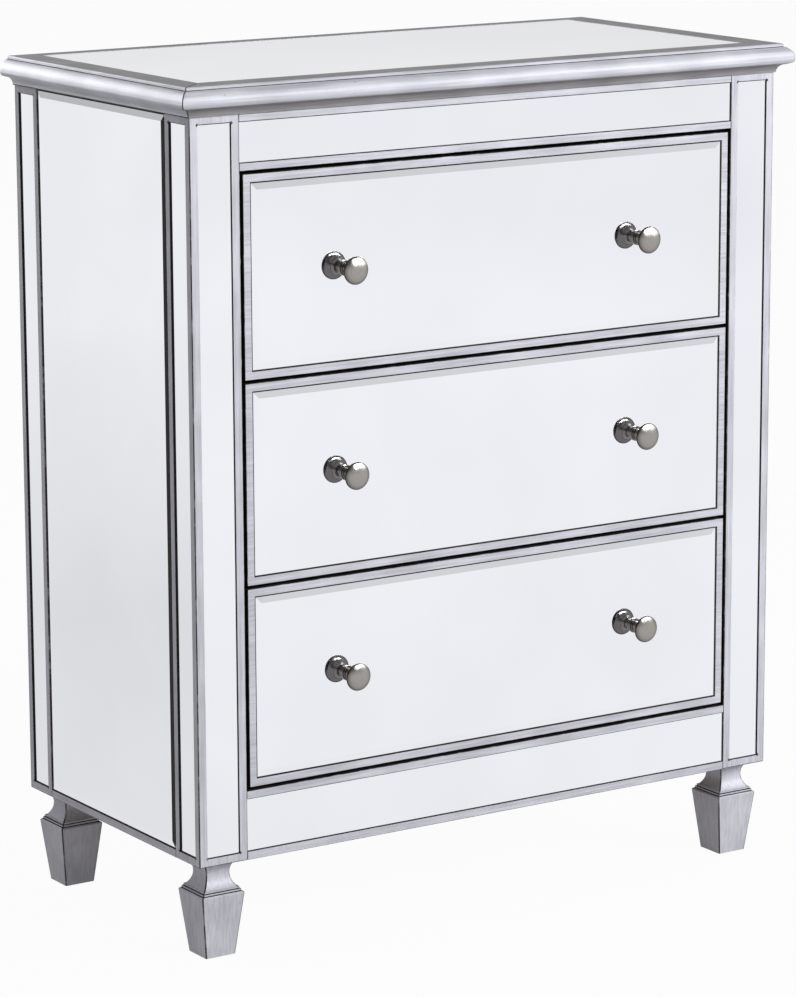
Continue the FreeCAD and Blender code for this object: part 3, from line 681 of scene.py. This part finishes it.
def pressed_board(name, light, dark):
    """Pressed wood fibre: short mottled fibres, matt and slightly rough."""
    add, place, shader = new_material(name)
    # Fibres about 2.5 mm long in mottles about 30 mm across
    fibres = add("TexNoise", {"Vector": place, "Scale": 420.0, "Detail": 5.0, "Roughness": 0.7})
    mottle = add("TexNoise", {"Vector": place, "Scale": 35.0, "Detail": 3.0})
    mixed = add("Mix", {0: 0.5, 2: fibres, 3: mottle})
    tone = add("ValToRGB", {"Fac": mixed}, ((0.38, dark), (0.62, light)))
    gloss = add("ValToRGB", {"Fac": fibres}, ((0.3, 0.68), (0.7, 0.82)))
    relief = add("Bump", {"Height": fibres, "Distance": 0.0001, "Strength": 0.3})
    set_inputs(shader, {"Base Color": tone, "Roughness": gloss, "Normal": relief})


class CHEST_OT_finishes(bpy.types.Operator):
    """Make the materials of every finish on the chest"""

    bl_idname = "chest.finishes"
    bl_label = "Finishes"

    def execute(self, context):
        colours = context.scene.chest_colours
        # Streaks about 2.5 mm apart across the board and 80 mm long
        fine, long = 400.0, 12.0
        directions = {
            "silver_paint_upright": (fine, fine, long),
            "silver_paint_across": (long, fine, fine),
            "silver_paint_along": (fine, long, fine),
        }
        for name, scales in directions.items():
            silver_paint(name, colours.silver_light, colours.silver_dark, colours.rubbed, scales)
            # The darker copy of each paint is painted shade
            silver_paint(name + "_washed", colours.washed_light, colours.washed_dark, colours.rubbed,
                         scales)
        for finish in (rubbed_edge, dark_glaze, silvered_mirror, satin_nickel, zinc_plate):
            finish(colours)
        # Grain about 6 mm apart across the board and 170 mm long
        fine, long = 160.0, 6.0
        plywood("plywood_sides", colours, (fine, long, fine), "X")
        plywood("plywood_backs", colours, (long, fine, fine), "Y")
        pressed_board("raw_hardboard", colours.hardboard, colours.hardboard_dark)
        pressed_board("raw_fibreboard", colours.fibreboard, colours.fibreboard_dark)
        return {"FINISHED"}


class CHEST_OT_cad_finishes(bpy.types.Operator):
    """Finish the CAD nodes that keep their own shape: mirrors, drawer boxes, runners and screws"""

    bl_idname = "chest.cad_finishes"
    bl_label = "Finish CAD pieces"

    def execute(self, context):
        endings = {
            "top_board": "silver_paint_across",
            "bottom_board": "raw_fibreboard",
            "back_panel": "raw_hardboard",
            "_mirror": "silvered_mirror",
            "_mirrors": "silvered_mirror",
            "_screws": "zinc_plate",
            "_bolts": "zinc_plate",
            "_runners": "zinc_plate",
            "drawer_left_side": "plywood_sides",
            "drawer_right_side": "plywood_sides",
            "drawer_back": "plywood_backs",
            "drawer_bottom": "raw_hardboard",
        }
        for name, node in frame["nodes"].items():
            for ending, finish in endings.items():
                if name.endswith(ending):
                    node.material_slots[0].material = bpy.data.materials[finish]
        return {"FINISHED"}


# Pieces

def post_side_groove(post_low, post_high, joinery):
    """Groove for the mirror strip on a left post's outer side."""
    mirror_low, mirror_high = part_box("side_post_mirrors")
    first_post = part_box("front_left_post")[0]
    strip = mirror_low.y - first_post.y - joinery.strip_clearance
    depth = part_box("front_post_mirrors")[1].y - first_post.y
    low = Vector((post_low.x, post_low.y + strip, mirror_low.z - joinery.strip_clearance))
    high = Vector((post_low.x + depth, post_high.y - strip, mirror_high.z + joinery.strip_clearance))
    return low, high


def ease_post(post, joinery, grooves):
    """Dark lines of painted shade along the grooves' ends, and rounded arrises save under the moulding."""
    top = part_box("front_left_post")[1].z

    def in_groove(middle):
        return any(in_box(middle, *groove) for groove in grooves)

    ease_edges(post, joinery.groove_line, GLAZE_AND_SHADE,
               lambda middle, run: in_groove(middle) and abs(run.z) < RUNNING)
    ease_edges(post, joinery.post_ease, RUBBED,
               lambda middle, run: not in_groove(middle) and middle.z < top - SLACK)


def side_seat():
    """Where the left side mirror lies against its panel, across the chest."""
    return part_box("left_side_mirror")[1].x


class CHEST_OT_front_posts(bpy.types.Operator):
    """Front corner posts, grooved on the front and the outer side for mirror strips"""

    bl_idname = "chest.front_posts"
    bl_label = "Front posts"

    def execute(self, context):
        joinery = context.scene.chest_joinery
        low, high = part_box("front_left_post")
        left = add_painted("front_left_post_painted", low, high, "silver_paint_upright")
        mirror_low, mirror_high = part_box("front_post_mirrors")
        gap = joinery.strip_clearance
        strip = mirror_low.x - low.x - gap
        front_groove = (Vector((low.x + strip, low.y, mirror_low.z - gap)),
                        Vector((high.x - strip, mirror_high.y, mirror_high.z + gap)))
        grooves = [front_groove, post_side_groove(low, high, joinery)]
        sink_groove(left, -BACK, *grooves[0])
        sink_groove(left, -RIGHT, *grooves[1])
        # Painted shade: the flank beside the side mirror and the inner face beside the drawers are left dark
        shade_part(left, BACK, low, Vector((side_seat(), high.y, high.z)))
        give_slot(left, GLAZE_AND_SHADE, lambda f: f.normal.x > FACING and middle_of(f).x > high.x - SLACK)
        ease_post(left, joinery, grooves)
        settle_both_sides(left, "front_left_post")
        return {"FINISHED"}


class CHEST_OT_back_posts(bpy.types.Operator):
    """Back corner posts, grooved on the outer side and rabbeted for the back panel"""

    bl_idname = "chest.back_posts"
    bl_label = "Back posts"

    def execute(self, context):
        joinery = context.scene.chest_joinery
        low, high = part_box("back_left_post")
        panel_low, panel_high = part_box("back_panel")
        panel = panel_high.y - panel_low.y
        left = add_painted("back_left_post_painted", low, high - BACK * panel, "silver_paint_upright")
        shift_part(left, BACK, low, high - RIGHT * joinery.rabbet, panel)
        groove = post_side_groove(low, high, joinery)
        sink_groove(left, -RIGHT, *groove)
        # Painted shade: the flank beside the side mirror is left dark
        shade_part(left, -BACK, low, Vector((side_seat(), high.y, high.z)))
        ease_post(left, joinery, [groove])
        settle_both_sides(left, "back_left_post")
        return {"FINISHED"}


class CHEST_OT_rails(bpy.types.Operator):
    """Frieze rail over the drawers and apron rail under them, each with a groove from end to end"""

    bl_idname = "chest.rails"
    bl_label = "Rails"

    def add_rail(self, joinery, name):
        """A rail whose front is pushed out over and under the groove, painted dark as shade on the drawers'
        side.
        """
        gap = joinery.strip_clearance
        low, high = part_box(name + "_rail")
        mirror_low, mirror_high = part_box(name + "_mirror")
        depth = mirror_high.y - low.y
        rail = add_painted(name + "_rail_painted", low + BACK * depth, high, "silver_paint_across")
        groove_low = Vector((low.x, low.y, mirror_low.z - gap))
        groove_high = Vector((high.x, low.y + depth, mirror_high.z + gap))
        shift_part(rail, -BACK, low, Vector((high.x, high.y, groove_low.z)), depth)
        shift_part(rail, -BACK, Vector((low.x, low.y, groove_high.z)), high, depth)
        drawer_side = low.z if name == "frieze" else high.z

        def in_groove(place):
            return in_box(place, groove_low, groove_high)

        give_slot(rail, GLAZE_AND_SHADE, lambda f: in_groove(middle_of(f)))
        # Painted shade: the face towards the drawers is dark
        give_slot(rail, GLAZE_AND_SHADE, lambda f: abs(middle_of(f).z - drawer_side) < SLACK)
        ease_edges(rail, joinery.groove_line, GLAZE_AND_SHADE,
                   lambda middle, run: abs(run.x) > RUNNING and in_groove(middle))
        ease_edges(rail, joinery.ease, RUBBED,
                   lambda middle, run: abs(run.x) > RUNNING and not in_groove(middle))
        settle(rail, "case", "silver_paint", name + "_rail")

    def execute(self, context):
        for name in ("frieze", "apron"):
            self.add_rail(context.scene.chest_joinery, name)
        return {"FINISHED"}


class CHEST_OT_side_panels(bpy.types.Operator):
    """Side boards behind the side mirrors, with a painted strip along the foot"""

    bl_idname = "chest.side_panels"
    bl_label = "Side panels"

    def add_lap(self, joinery, low, glass_low, glass_high):
        """A thin dark film from the front post over the mirror's front bevel, mitred like the bevel's ends:
        a painted reflection of a dark thing beside the chest.
        """
        bottom = Vector((low.x, low.y, glass_low))
        top = Vector((low.x, low.y, glass_high))
        lap = add_block("side_mirror_lap", bottom,
                        top + RIGHT * joinery.lap_depth + BACK * joinery.lap_width)
        lap.data.materials.append(bpy.data.materials["dark_glaze"])
        edit(lap)
        cut_at(top, BACK + UP, clear=True)
        cut_at(bottom, BACK - UP, clear=True)
        leave_edit()
        return lap

    def execute(self, context):
        joinery = context.scene.chest_joinery
        low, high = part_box("left_side_panel")
        mirror_low, mirror_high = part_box("left_side_mirror")
        strip_top = mirror_low.z - joinery.bevel_clearance
        depth = mirror_high.x - low.x
        left = add_painted("left_side_panel_painted", low + RIGHT * depth, high, "silver_paint_along")
        shift_part(left, -RIGHT, low, Vector((high.x, high.y, strip_top)), depth)
        seat = (Vector((low.x, low.y, strip_top)), Vector((mirror_high.x, high.y, high.z)))
        # Painted shade: the mirror's seat and the line along its foot are dark
        give_slot(left, GLAZE_AND_SHADE, lambda f: abs(f.normal.y) < RUNNING and in_box(middle_of(f), *seat))
        ease_edges(left, joinery.glaze_line, GLAZE_AND_SHADE,
                   lambda middle, run: abs(run.y) > RUNNING and abs(middle.z - strip_top) < SLACK)
        ease_edges(left, joinery.ease, RUBBED,
                   lambda middle, run: abs(run.y) > RUNNING and middle.z < low.z + SLACK)
        # Painted reflection: the dark film joins the panel
        lap = self.add_lap(joinery, low, mirror_low.z, mirror_high.z)
        select_only(left)
        lap.select_set(True)
        bpy.ops.object.join()
        settle_both_sides(left, "left_side_panel")
        return {"FINISHED"}


def moulding_profile(sizes, top):
    """Reach and height of each point of the moulding from its foot to the top's edge."""
    cove_end = (sizes.cove_reach, sizes.cove_height)
    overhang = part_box("top_board")[0].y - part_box("top_front_moulding")[0].y
    nose_low = (overhang - sizes.nose_undercut, sizes.cove_height + sizes.nose_low_rise)
    nose = (overhang, sizes.cove_height + sizes.nose_rise)
    shoulder = (sizes.shoulder_reach, top - sizes.shoulder_drop)
    points = [(sizes.cove_foot, 0.0)]
    points += arc_points(points[0], cove_end, sizes.cove_bulge, COVE_STEPS)
    points.append(nose_low)
    points += arc_points(nose_low, nose, -sizes.nose_bulge, NOSE_STEPS)
    points += arc_points(nose, shoulder, -sizes.round_bulge, ROUND_STEPS)
    points.append((sizes.edge_reach, shoulder[1]))
    points.append((sizes.edge_reach, shoulder[1] + sizes.quirk_line))
    points.append((sizes.edge_reach, top - sizes.edge_chamfer))
    points.append((sizes.edge_reach - sizes.edge_chamfer, top))
    return points


def in_cove(face, sizes, foot):
    """Whether a face belongs to the cove or to the flat under the nose."""
    cove_top = foot + sizes.cove_height + sizes.nose_low_rise
    return foot + SLACK < middle_of(face).z < cove_top


class CHEST_OT_mouldings(bpy.types.Operator):
    """Moulding round three sides of the top: one length run to the profile, copied, turned and mitred"""

    bl_idname = "chest.mouldings"
    bl_label = "Top mouldings"

    def run_length(self, sizes, low, high, case_front):
        """A long bar with the front profile, its upper part reaching in over the top board."""
        points = moulding_profile(sizes, high.z - low.z)
        reach, height = points[1]
        start = Vector((low.x, case_front - points[0][0], low.z))
        bar = add_block("moulding_bar", start, Vector((high.x, case_front, low.z + height)))
        edit(bar)
        top = low.z + height
        front = start.y

        def at_front_edge(vertex):
            return vertex.co.z > top - SLACK and abs(vertex.co.y - front) < SLACK

        def is_top(face):
            """The upper face, and not a shelf at the same height."""
            back = max(vertex.co.y for vertex in face.verts)
            is_high = middle_of(face).z > top - SLACK
            return face.normal.z > FACING and is_high and back > case_front - SLACK

        pick(bar, at_front_edge, "VERT")
        bpy.ops.transform.translate(value=(0, case_front - reach - front, 0))
        front = case_front - reach
        for reach, height in points[2:]:
            pick(bar, is_top)
            extrude((0, 0, low.z + height - top))
            bpy.ops.mesh.select_mode(type="VERT")
            mesh = bmesh.from_edit_mesh(bar.data)
            for vertex in mesh.verts:
                vertex.select_set(vertex.select and abs(vertex.co.y - front) < SLACK)
            mesh.select_flush_mode()
            bmesh.update_edit_mesh(bar.data)
            bpy.ops.transform.translate(value=(0, case_front - reach - front, 0))
            top = low.z + height
            front = case_front - reach
        leave_edit()
        clean(bar)
        give_paint(bar, "silver_paint_across")
        board_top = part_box("top_board")[1].z
        shift_part(bar, BACK, Vector((low.x, low.y, board_top)), high, high.y - case_front)
        quirk = high.z - sizes.shoulder_drop

        def is_shaded_quirk(face):
            """Painted shade: the underside, and the flat behind the quarter round with the dark line over
            it.
            """
            middle = middle_of(face)
            over_round = quirk - SLACK < middle.z < quirk + sizes.quirk_line and middle.y < case_front
            return over_round or middle.z < low.z + SLACK

        def is_painted_shade(face):
            """Painted shade: the cove, the flat under the nose and the flat top get the darker paint."""
            return in_cove(face, sizes, low.z) or middle_of(face).z > high.z - SLACK

        give_slot(bar, GLAZE_AND_SHADE, is_shaded_quirk)
        give_slot(bar, PAINTED_SHADE, is_painted_shade)
        return bar

    def mitre(self, bar, place, normal):
        """Cut off the end that lies on the normal's side of a plane."""
        edit(bar)
        cut_at(place, normal, clear=True)
        leave_edit()

    def execute(self, context):
        sizes = context.scene.chest_moulding
        low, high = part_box("top_front_moulding")
        case_low, case_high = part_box("top_board")
        spare = RIGHT * sizes.spare
        front = self.run_length(sizes, low - spare, high + spare, case_low.y)
        half_gap = sizes.mitre_gap / 2
        corner = Vector((case_low.x, case_low.y, case_high.z))
        across = (case_low.x - case_low.y, case_high.y + low.x - sizes.spare, 0)
        left = copy_piece(front, "top_left_moulding_painted", across, -math.pi / 2)
        self.mitre(left, corner + BACK * half_gap, Vector((1, -1, 0)))
        front.name = "top_front_moulding_painted"
        front.data.name = front.name
        self.mitre(front, corner + RIGHT * half_gap, Vector((-1, 1, 0)))
        self.mitre(front, Vector((-corner.x - half_gap, corner.y, corner.z)), Vector((1, 1, 0)))
        # On the sides the cove keeps the plain paint, and the painted shade stays on the flat top
        give_slot(left, PAINT, lambda f: in_cove(f, sizes, low.z))
        # Painted shade: a dark line along the side coves' foot
        give_slot(left, GLAZE_AND_SHADE, lambda f: middle_of(f).z < low.z + sizes.foot_line)
        left.material_slots[PAINT].material = bpy.data.materials["silver_paint_along"]
        left.material_slots[PAINTED_SHADE].material = bpy.data.materials["silver_paint_along_washed"]

        def on_mitre(middle, run):
            beyond_side = abs(middle.x) + case_low.x
            beyond_front = case_low.y - middle.y
            return abs(beyond_side - beyond_front) < sizes.mitre_gap

        def on_profile(middle, run):
            lengthwise = max(abs(run.x), abs(run.y)) > FACING
            return lengthwise and low.z + SLACK < middle.z < high.z - sizes.edge_chamfer - SLACK

        right = copy_piece(left, "top_right_moulding_painted", flipped=True)
        pieces = {"top_front_moulding": front, "top_left_moulding": left, "top_right_moulding": right}
        for node, piece in pieces.items():
            clean(piece)
            ease_edges(piece, sizes.mitre_line, GLAZE_AND_SHADE, on_mitre)
            ease_edges(piece, sizes.ease, RUBBED, on_profile)
            settle(piece, "case", "silver_paint", node)
        return {"FINISHED"}


class CHEST_OT_back_strip(bpy.types.Operator):
    """Flat strip along the back of the top"""

    bl_idname = "chest.back_strip"
    bl_label = "Top back strip"

    def execute(self, context):
        low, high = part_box("top_back_strip")
        strip = add_painted("top_back_strip_painted", low, high, "silver_paint_across")
        # Painted shade: the strip's top gets the darker paint
        give_slot(strip, PAINTED_SHADE, lambda f: f.normal.z > FACING)
        ease_edges(strip, context.scene.chest_joinery.ease, RUBBED,
                   lambda middle, run: middle.y > low.y + SLACK)
        settle(strip, "case", "silver_paint", "top_back_strip")
        return {"FINISHED"}


class CHEST_OT_feet(bpy.types.Operator):
    """Four feet: a tapered square block, two steps and a hollow neck, modelled once and copied"""

    bl_idname = "chest.feet"
    bl_label = "Feet"

    def rings(self, sizes, top):
        """Height and width of each ring over the block's widest line."""
        fillet_top = sizes.block_height + sizes.step
        neck_start = fillet_top + sizes.step
        neck = arc_points((sizes.neck_base / 2, neck_start), (sizes.neck_top / 2, top - sizes.neck_lip),
                          sizes.neck_bulge, NECK_STEPS)
        rings = [(sizes.block_height - sizes.block_ease, sizes.block_top),
                 (sizes.block_height, sizes.block_top - sizes.block_ease * 2),
                 (sizes.block_height, sizes.fillet),
                 (sizes.block_height + sizes.root, sizes.fillet),
                 (fillet_top, sizes.fillet),
                 (fillet_top, sizes.ledge),
                 (fillet_top + sizes.root, sizes.ledge),
                 (neck_start, sizes.ledge),
                 (neck_start, sizes.neck_base)]
        rings += [(height, half * 2) for half, height in neck]
        rings.append((top, sizes.neck_top))
        return rings

    def execute(self, context):
        sizes = context.scene.chest_foot
        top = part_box("front_left_foot")[1].z
        half = sizes.block_bottom / 2
        eased = sizes.block_height - sizes.block_ease
        model = add_block("foot_model", Vector((-half, -half, 0)), Vector((half, half, eased)))
        edit(model)
        pick(model, lambda f: f.normal.z > FACING)
        ratio = sizes.block_top / sizes.block_bottom
        bpy.ops.transform.resize(value=(ratio, ratio, 1), center_override=(0, 0, eased))
        grow(self.rings(sizes, top), UP)
        leave_edit()
        clean(model)
        give_paint(model, "silver_paint_upright")
        step_feet = (sizes.block_height, sizes.block_height + sizes.step)

        def is_shaded_root(face):
            """A face at the root of one of the steps, painted dark as shade."""
            return any(start - SLACK < middle_of(face).z < start + sizes.root for start in step_feet)

        give_slot(model, GLAZE_AND_SHADE, is_shaded_root)
        ease_edges(model, sizes.ease, RUBBED, lambda middle, run: abs(run.z) > LEANING)
        for end in ("front", "back"):
            for side in ("left", "right"):
                node = f"{end}_{side}_foot"
                low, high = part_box(node)
                centre = (low + high) / 2
                foot = copy_piece(model, node + "_painted", (centre.x, centre.y, 0))
                settle(foot, "case", "silver_paint", node)
        bpy.data.objects.remove(model)
        return {"FINISHED"}


class CHEST_OT_drawer_fronts(bpy.types.Operator):
    """Three drawer fronts with a sunk recess for the mirror, modelled once and copied"""

    bl_idname = "chest.drawer_fronts"
    bl_label = "Drawer fronts"

    def execute(self, context):
        joinery = context.scene.chest_joinery
        low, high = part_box("top_drawer_front")
        mirror_low, mirror_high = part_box("top_drawer_mirror")
        gap = joinery.bevel_clearance
        model = add_painted("drawer_front_model", low, high, "silver_paint_across")
        recess = (Vector((mirror_low.x - gap, low.y, mirror_low.z - gap)),
                  Vector((mirror_high.x + gap, mirror_high.y, mirror_high.z + gap)))
        sink_groove(model, -BACK, *recess)
        # Painted shade: the front's edges in the gaps round the drawer are dark
        give_slot(model, GLAZE_AND_SHADE, lambda f: f.normal.y > -RUNNING and middle_of(f).y < high.y - SLACK)
        ease_edges(model, joinery.glaze_line, GLAZE_AND_SHADE, lambda middle, run: in_box(middle, *recess))
        ease_edges(model, joinery.ease, RUBBED, lambda middle, run: not in_box(middle, *recess))
        for drawer in DRAWERS:
            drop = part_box(drawer + "_front")[0] - low
            front = copy_piece(model, drawer + "_front_painted", drop)
            settle(front, drawer, "silver_paint", drawer + "_front")
        bpy.data.objects.remove(model)
        return {"FINISHED"}


class CHEST_OT_knobs(bpy.types.Operator):
    """Turned knobs, two on each drawer, modelled once and copied"""

    bl_idname = "chest.knobs"
    bl_label = "Knobs"

    def profile(self, sizes):
        """Distance from the glass and width of each turned ring."""
        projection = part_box("top_drawer_mirror")[0].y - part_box("top_drawer_knobs")[0].y
        collar = sizes.collar_radius
        line = collar - sizes.groove
        rim_front = projection - sizes.dome
        head_back = rim_front - sizes.rim
        rises = [sizes.collar * part for part in COLLAR_LINE_SHARES]
        points = [(collar, 0.0)]
        points += zip((collar, line, line, collar, collar), rises)
        points.append((line, sizes.collar))
        points.append((sizes.neck_radius + sizes.groove, sizes.collar))
        points.append((sizes.neck_radius, sizes.collar + sizes.groove))
        points.append((sizes.neck_radius, sizes.collar + sizes.neck))
        bell_end = (sizes.head_radius - sizes.ease, head_back)
        points += arc_points(points[-1], bell_end, sizes.bell_bulge, BELL_STEPS)
        rim_back = (sizes.head_radius, head_back + sizes.ease)
        points += arc_points(points[-1], rim_back, -QUARTER_BULGE, RIM_STEPS)
        points.append((sizes.head_radius, rim_front - sizes.ease))
        dome_radius = (sizes.head_radius ** 2 + sizes.dome ** 2) / (sizes.dome * 2)
        dome_centre = projection - dome_radius
        edge_angle = math.asin(sizes.head_radius / dome_radius)
        for number in range(1, DOME_STEPS):
            angle = edge_angle * (1 - number / DOME_STEPS)
            points.append((dome_radius * math.sin(angle), dome_centre + dome_radius * math.cos(angle)))
        return [(out, radius * 2) for radius, out in points]

    def mark_surface(self, knob, sizes):
        """Give each point its place along the profile and its share of painted shade, full on the rim."""
        for name in ("turned", "patina"):
            knob.data.attributes.new(name, "FLOAT", "POINT")
        turned = knob.data.attributes["turned"].data
        patina = knob.data.attributes["patina"].data
        head_back = max(-vertex.co.y for vertex in knob.data.vertices) - sizes.dome - sizes.rim
        for vertex in knob.data.vertices:
            out = -vertex.co.y
            radius = math.hypot(vertex.co.x, vertex.co.z)
            turned[vertex.index].value = radius + out * TURNING_SHARE
            least = sizes.patina_behind if out < head_back else 0.0
            patina[vertex.index].value = max(least, (radius / sizes.head_radius) ** RIM_SHADE_FADE)

    def execute(self, context):
        sizes = context.scene.chest_knob
        bpy.ops.object.select_all(action="DESELECT")
        bpy.ops.mesh.primitive_circle_add(vertices=KNOB_SIDES, radius=sizes.collar_radius,
                                          fill_type="NGON", rotation=(math.pi / 2, 0, 0))
        apply_transforms()
        model = bpy.context.object
        edit(model)
        bpy.ops.mesh.select_all(action="SELECT")
        grow(self.profile(sizes), -BACK)
        leave_edit()
        clean(model)
        bpy.ops.object.shade_smooth_by_angle(angle=SHARP_ANGLE)
        self.mark_surface(model, sizes)
        model.data.materials.append(bpy.data.materials["satin_nickel"])
        for drawer in DRAWERS:
            low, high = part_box(drawer + "_knobs")
            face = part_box(drawer + "_mirror")[0].y
            middle = (low.z + high.z) / 2
            for side, x in (("left", low.x + sizes.head_radius), ("right", high.x - sizes.head_radius)):
                knob = copy_piece(model, f"{drawer}_{side}_knob_turned", (x, face, middle))
                settle(knob, drawer, "brushed_nickel", drawer + "_knobs")
        bpy.data.objects.remove(model)
        return {"FINISHED"}


class CHEST_OT_studio(bpy.types.Operator):
    """White studio: floor, world, lamps and the camera"""

    bl_idname = "chest.studio"
    bl_label = "Studio"

    def add_floor(self, studio, colour):
        """White to the camera and in reflections, with a painted shadow in reflections behind the left side
        and a share left that takes the chest's shadow.
        """
        bpy.ops.mesh.primitive_plane_add(size=studio.floor_size, location=(0, 0, 0))
        floor = bpy.context.object
        floor.name = "studio_floor"
        material = bpy.data.materials.new("studio_floor")
        add = empty_tree(material)
        path = add("LightPath", {}).outputs
        direct = add("Math", {0: path["Is Camera Ray"], 1: studio.floor_glow}, operation="MULTIPLY")
        traced = add("Math", {0: path["Is Glossy Ray"], 1: path["Is Transmission Ray"]},
                     operation="MAXIMUM")
        # Painted shadow: reflections of the floor grow greyer towards the shade's middle
        place = add("TexCoord", {}).outputs["Object"]
        away = add("VectorMath", {0: place, 1: studio.shade_place}, operation="DISTANCE").outputs["Value"]
        sheen = add("MapRange", {"Value": away, "From Max": studio.shade_reach,
                                 "To Min": studio.shade_sheen, "To Max": studio.floor_sheen})
        traced = add("Math", {0: traced, 1: sheen}, operation="MULTIPLY")
        share_seen = add("Math", {0: direct, 1: traced}, operation="MAXIMUM")
        matt = add("BsdfDiffuse", {"Color": colour})
        glow = add("Emission", {"Strength": 1.0})
        mixed = add("MixShader", {0: share_seen, 1: matt, 2: glow})
        add("OutputMaterial", {"Surface": mixed})
        floor.data.materials.append(material)

    def add_world(self, studio):
        """White to the camera, a grey sweep to mirrors and metal, and a light weaker from the left."""
        world = bpy.data.worlds.new("studio_world")
        bpy.context.scene.world = world
        add = empty_tree(world)
        direction = add("TexCoord", {}).outputs["Generated"]
        parts = add("SeparateXYZ", {"Vector": direction}).outputs
        behind = add("ValToRGB", {"Fac": parts["Z"]}, SWEEP_BEHIND)
        before = add("ValToRGB", {"Fac": parts["Z"]}, SWEEP_BEFORE)
        start, end = FRONT_TO_BACK
        facing = add("MapRange", {"Value": parts["Y"], "From Min": start, "From Max": end})
        start, end = BRIGHT_RIGHT
        aside = add("MapRange", {"Value": parts["X"], "From Min": start, "From Max": end})
        before = add("Mix", {0: aside, 6: before, 7: grey(1.0)}, data_type="RGBA")
        sweep = add("Mix", {0: facing, 6: before.outputs[2], 7: behind}, data_type="RGBA")
        start, end = LEFT_TO_RIGHT
        fill = add("MapRange", {"Value": parts["X"], "From Min": start, "From Max": end,
                                "To Min": studio.fill_left, "To Max": studio.fill_right})
        path = add("LightPath", {}).outputs
        ambient = add("Background", {"Color": fill})
        mirrored_sweep = add("Background", {"Color": sweep.outputs[2]})
        seen = add("Background", {"Color": grey(1.0)})
        traced = add("Math", {0: path["Is Glossy Ray"], 1: path["Is Transmission Ray"]},
                     operation="MAXIMUM")
        lit = add("MixShader", {0: traced, 1: ambient, 2: mirrored_sweep})
        final = add("MixShader", {0: path["Is Camera Ray"], 1: lit, 2: seen})
        add("OutputWorld", {"Surface": final})

    def add_lamp(self, studio, name):
        place = Vector(getattr(studio, name + "_place"))
        target = Vector(getattr(studio, name + "_aim"))
        bpy.ops.object.light_add(type="AREA", location=place)
        lamp = bpy.context.object
        lamp.name = name + "_lamp"
        lamp.data.shape = "RECTANGLE"
        lamp.data.size = getattr(studio, name + "_width")
        lamp.data.size_y = getattr(studio, name + "_height")
        lamp.data.energy = getattr(studio, name + "_power")
        lamp.rotation_euler = (target - place).to_track_quat("-Z", "Y").to_euler()
        return lamp

    def shine_on(self, lamp, is_lit):
        """Let a lamp reach just the pieces whose names pass a test."""
        lit = bpy.data.collections.new(lamp.name + "_lit")
        for piece in bpy.context.scene.objects:
            if is_lit(piece.name):
                lit.objects.link(piece)
        lamp.light_linking.receiver_collection = lit

    def add_lamps(self, studio):
        """Two lamps that light the chest, and two that only its mouldings and knobs reflect."""
        # The key lamp would make the top mirror a plain white sheet from behind
        key = self.add_lamp(studio, "key")
        self.shine_on(key, lambda name: name != "top_mirror")
        rim = self.add_lamp(studio, "rim")
        rim.visible_glossy = False
        glint = self.add_lamp(studio, "glint")
        glint.visible_diffuse = False
        self.shine_on(glint, lambda name: "moulding" in name)
        flare = self.add_lamp(studio, "flare")
        flare.visible_diffuse = False
        self.shine_on(flare, lambda name: "knob_turned" in name)

    def add_camera(self, studio):
        bpy.ops.object.camera_add(location=studio.camera_place, rotation=studio.camera_turn)
        camera = bpy.context.object
        camera.data.sensor_width = SENSOR
        camera.data.lens = studio.lens
        camera.data.clip_end = SIGHT
        bpy.context.scene.camera = camera

    def execute(self, context):
        studio = context.scene.chest_studio
        bpy.ops.object.select_all(action="DESELECT")
        self.add_floor(studio, context.scene.chest_colours.floor)
        self.add_world(studio)
        self.add_lamps(studio)
        self.add_camera(studio)
        context.scene.view_settings.view_transform = "Standard"
        return {"FINISHED"}


OPERATORS = (
    CHEST_OT_finishes,
    CHEST_OT_cad_finishes,
    CHEST_OT_front_posts,
    CHEST_OT_back_posts,
    CHEST_OT_rails,
    CHEST_OT_side_panels,
    CHEST_OT_mouldings,
    CHEST_OT_back_strip,
    CHEST_OT_feet,
    CHEST_OT_drawer_fronts,
    CHEST_OT_knobs,
    CHEST_OT_studio,
)


class CHEST_PT_sidebar(bpy.types.Panel):
    """Steps that dress the chest, in order"""

    bl_idname = "CHEST_PT_sidebar"
    bl_label = "Mirrored chest"
    bl_space_type = "VIEW_3D"
    bl_region_type = "UI"
    bl_category = "Chest"

    def draw(self, context):
        for operator in OPERATORS:
            self.layout.operator(operator.bl_idname)


GROUPS = {
    "chest_joinery": CHEST_PG_joinery,
    "chest_moulding": CHEST_PG_moulding,
    "chest_foot": CHEST_PG_foot,
    "chest_knob": CHEST_PG_knob,
    "chest_colours": CHEST_PG_colours,
    "chest_studio": CHEST_PG_studio,
}


def register():
    for name, group in GROUPS.items():
        bpy.utils.register_class(group)
        setattr(bpy.types.Scene, name, bpy.props.PointerProperty(type=group))
    for operator in OPERATORS:
        bpy.utils.register_class(operator)
    bpy.utils.register_class(CHEST_PT_sidebar)


def unregister():
    bpy.utils.unregister_class(CHEST_PT_sidebar)
    for operator in reversed(OPERATORS):
        bpy.utils.unregister_class(operator)
    for name, group in GROUPS.items():
        delattr(bpy.types.Scene, name)
        bpy.utils.unregister_class(group)


def main():
    register()
    bpy.ops.chest.finishes()
    bpy.ops.chest.cad_finishes()
    bpy.ops.chest.front_posts()
    bpy.ops.chest.back_posts()
    bpy.ops.chest.rails()
    bpy.ops.chest.side_panels()
    bpy.ops.chest.mouldings()
    bpy.ops.chest.back_strip()
    bpy.ops.chest.feet()
    bpy.ops.chest.drawer_fronts()
    bpy.ops.chest.knobs()
    bpy.ops.chest.studio()


if __name__ == "__main__":
    main()
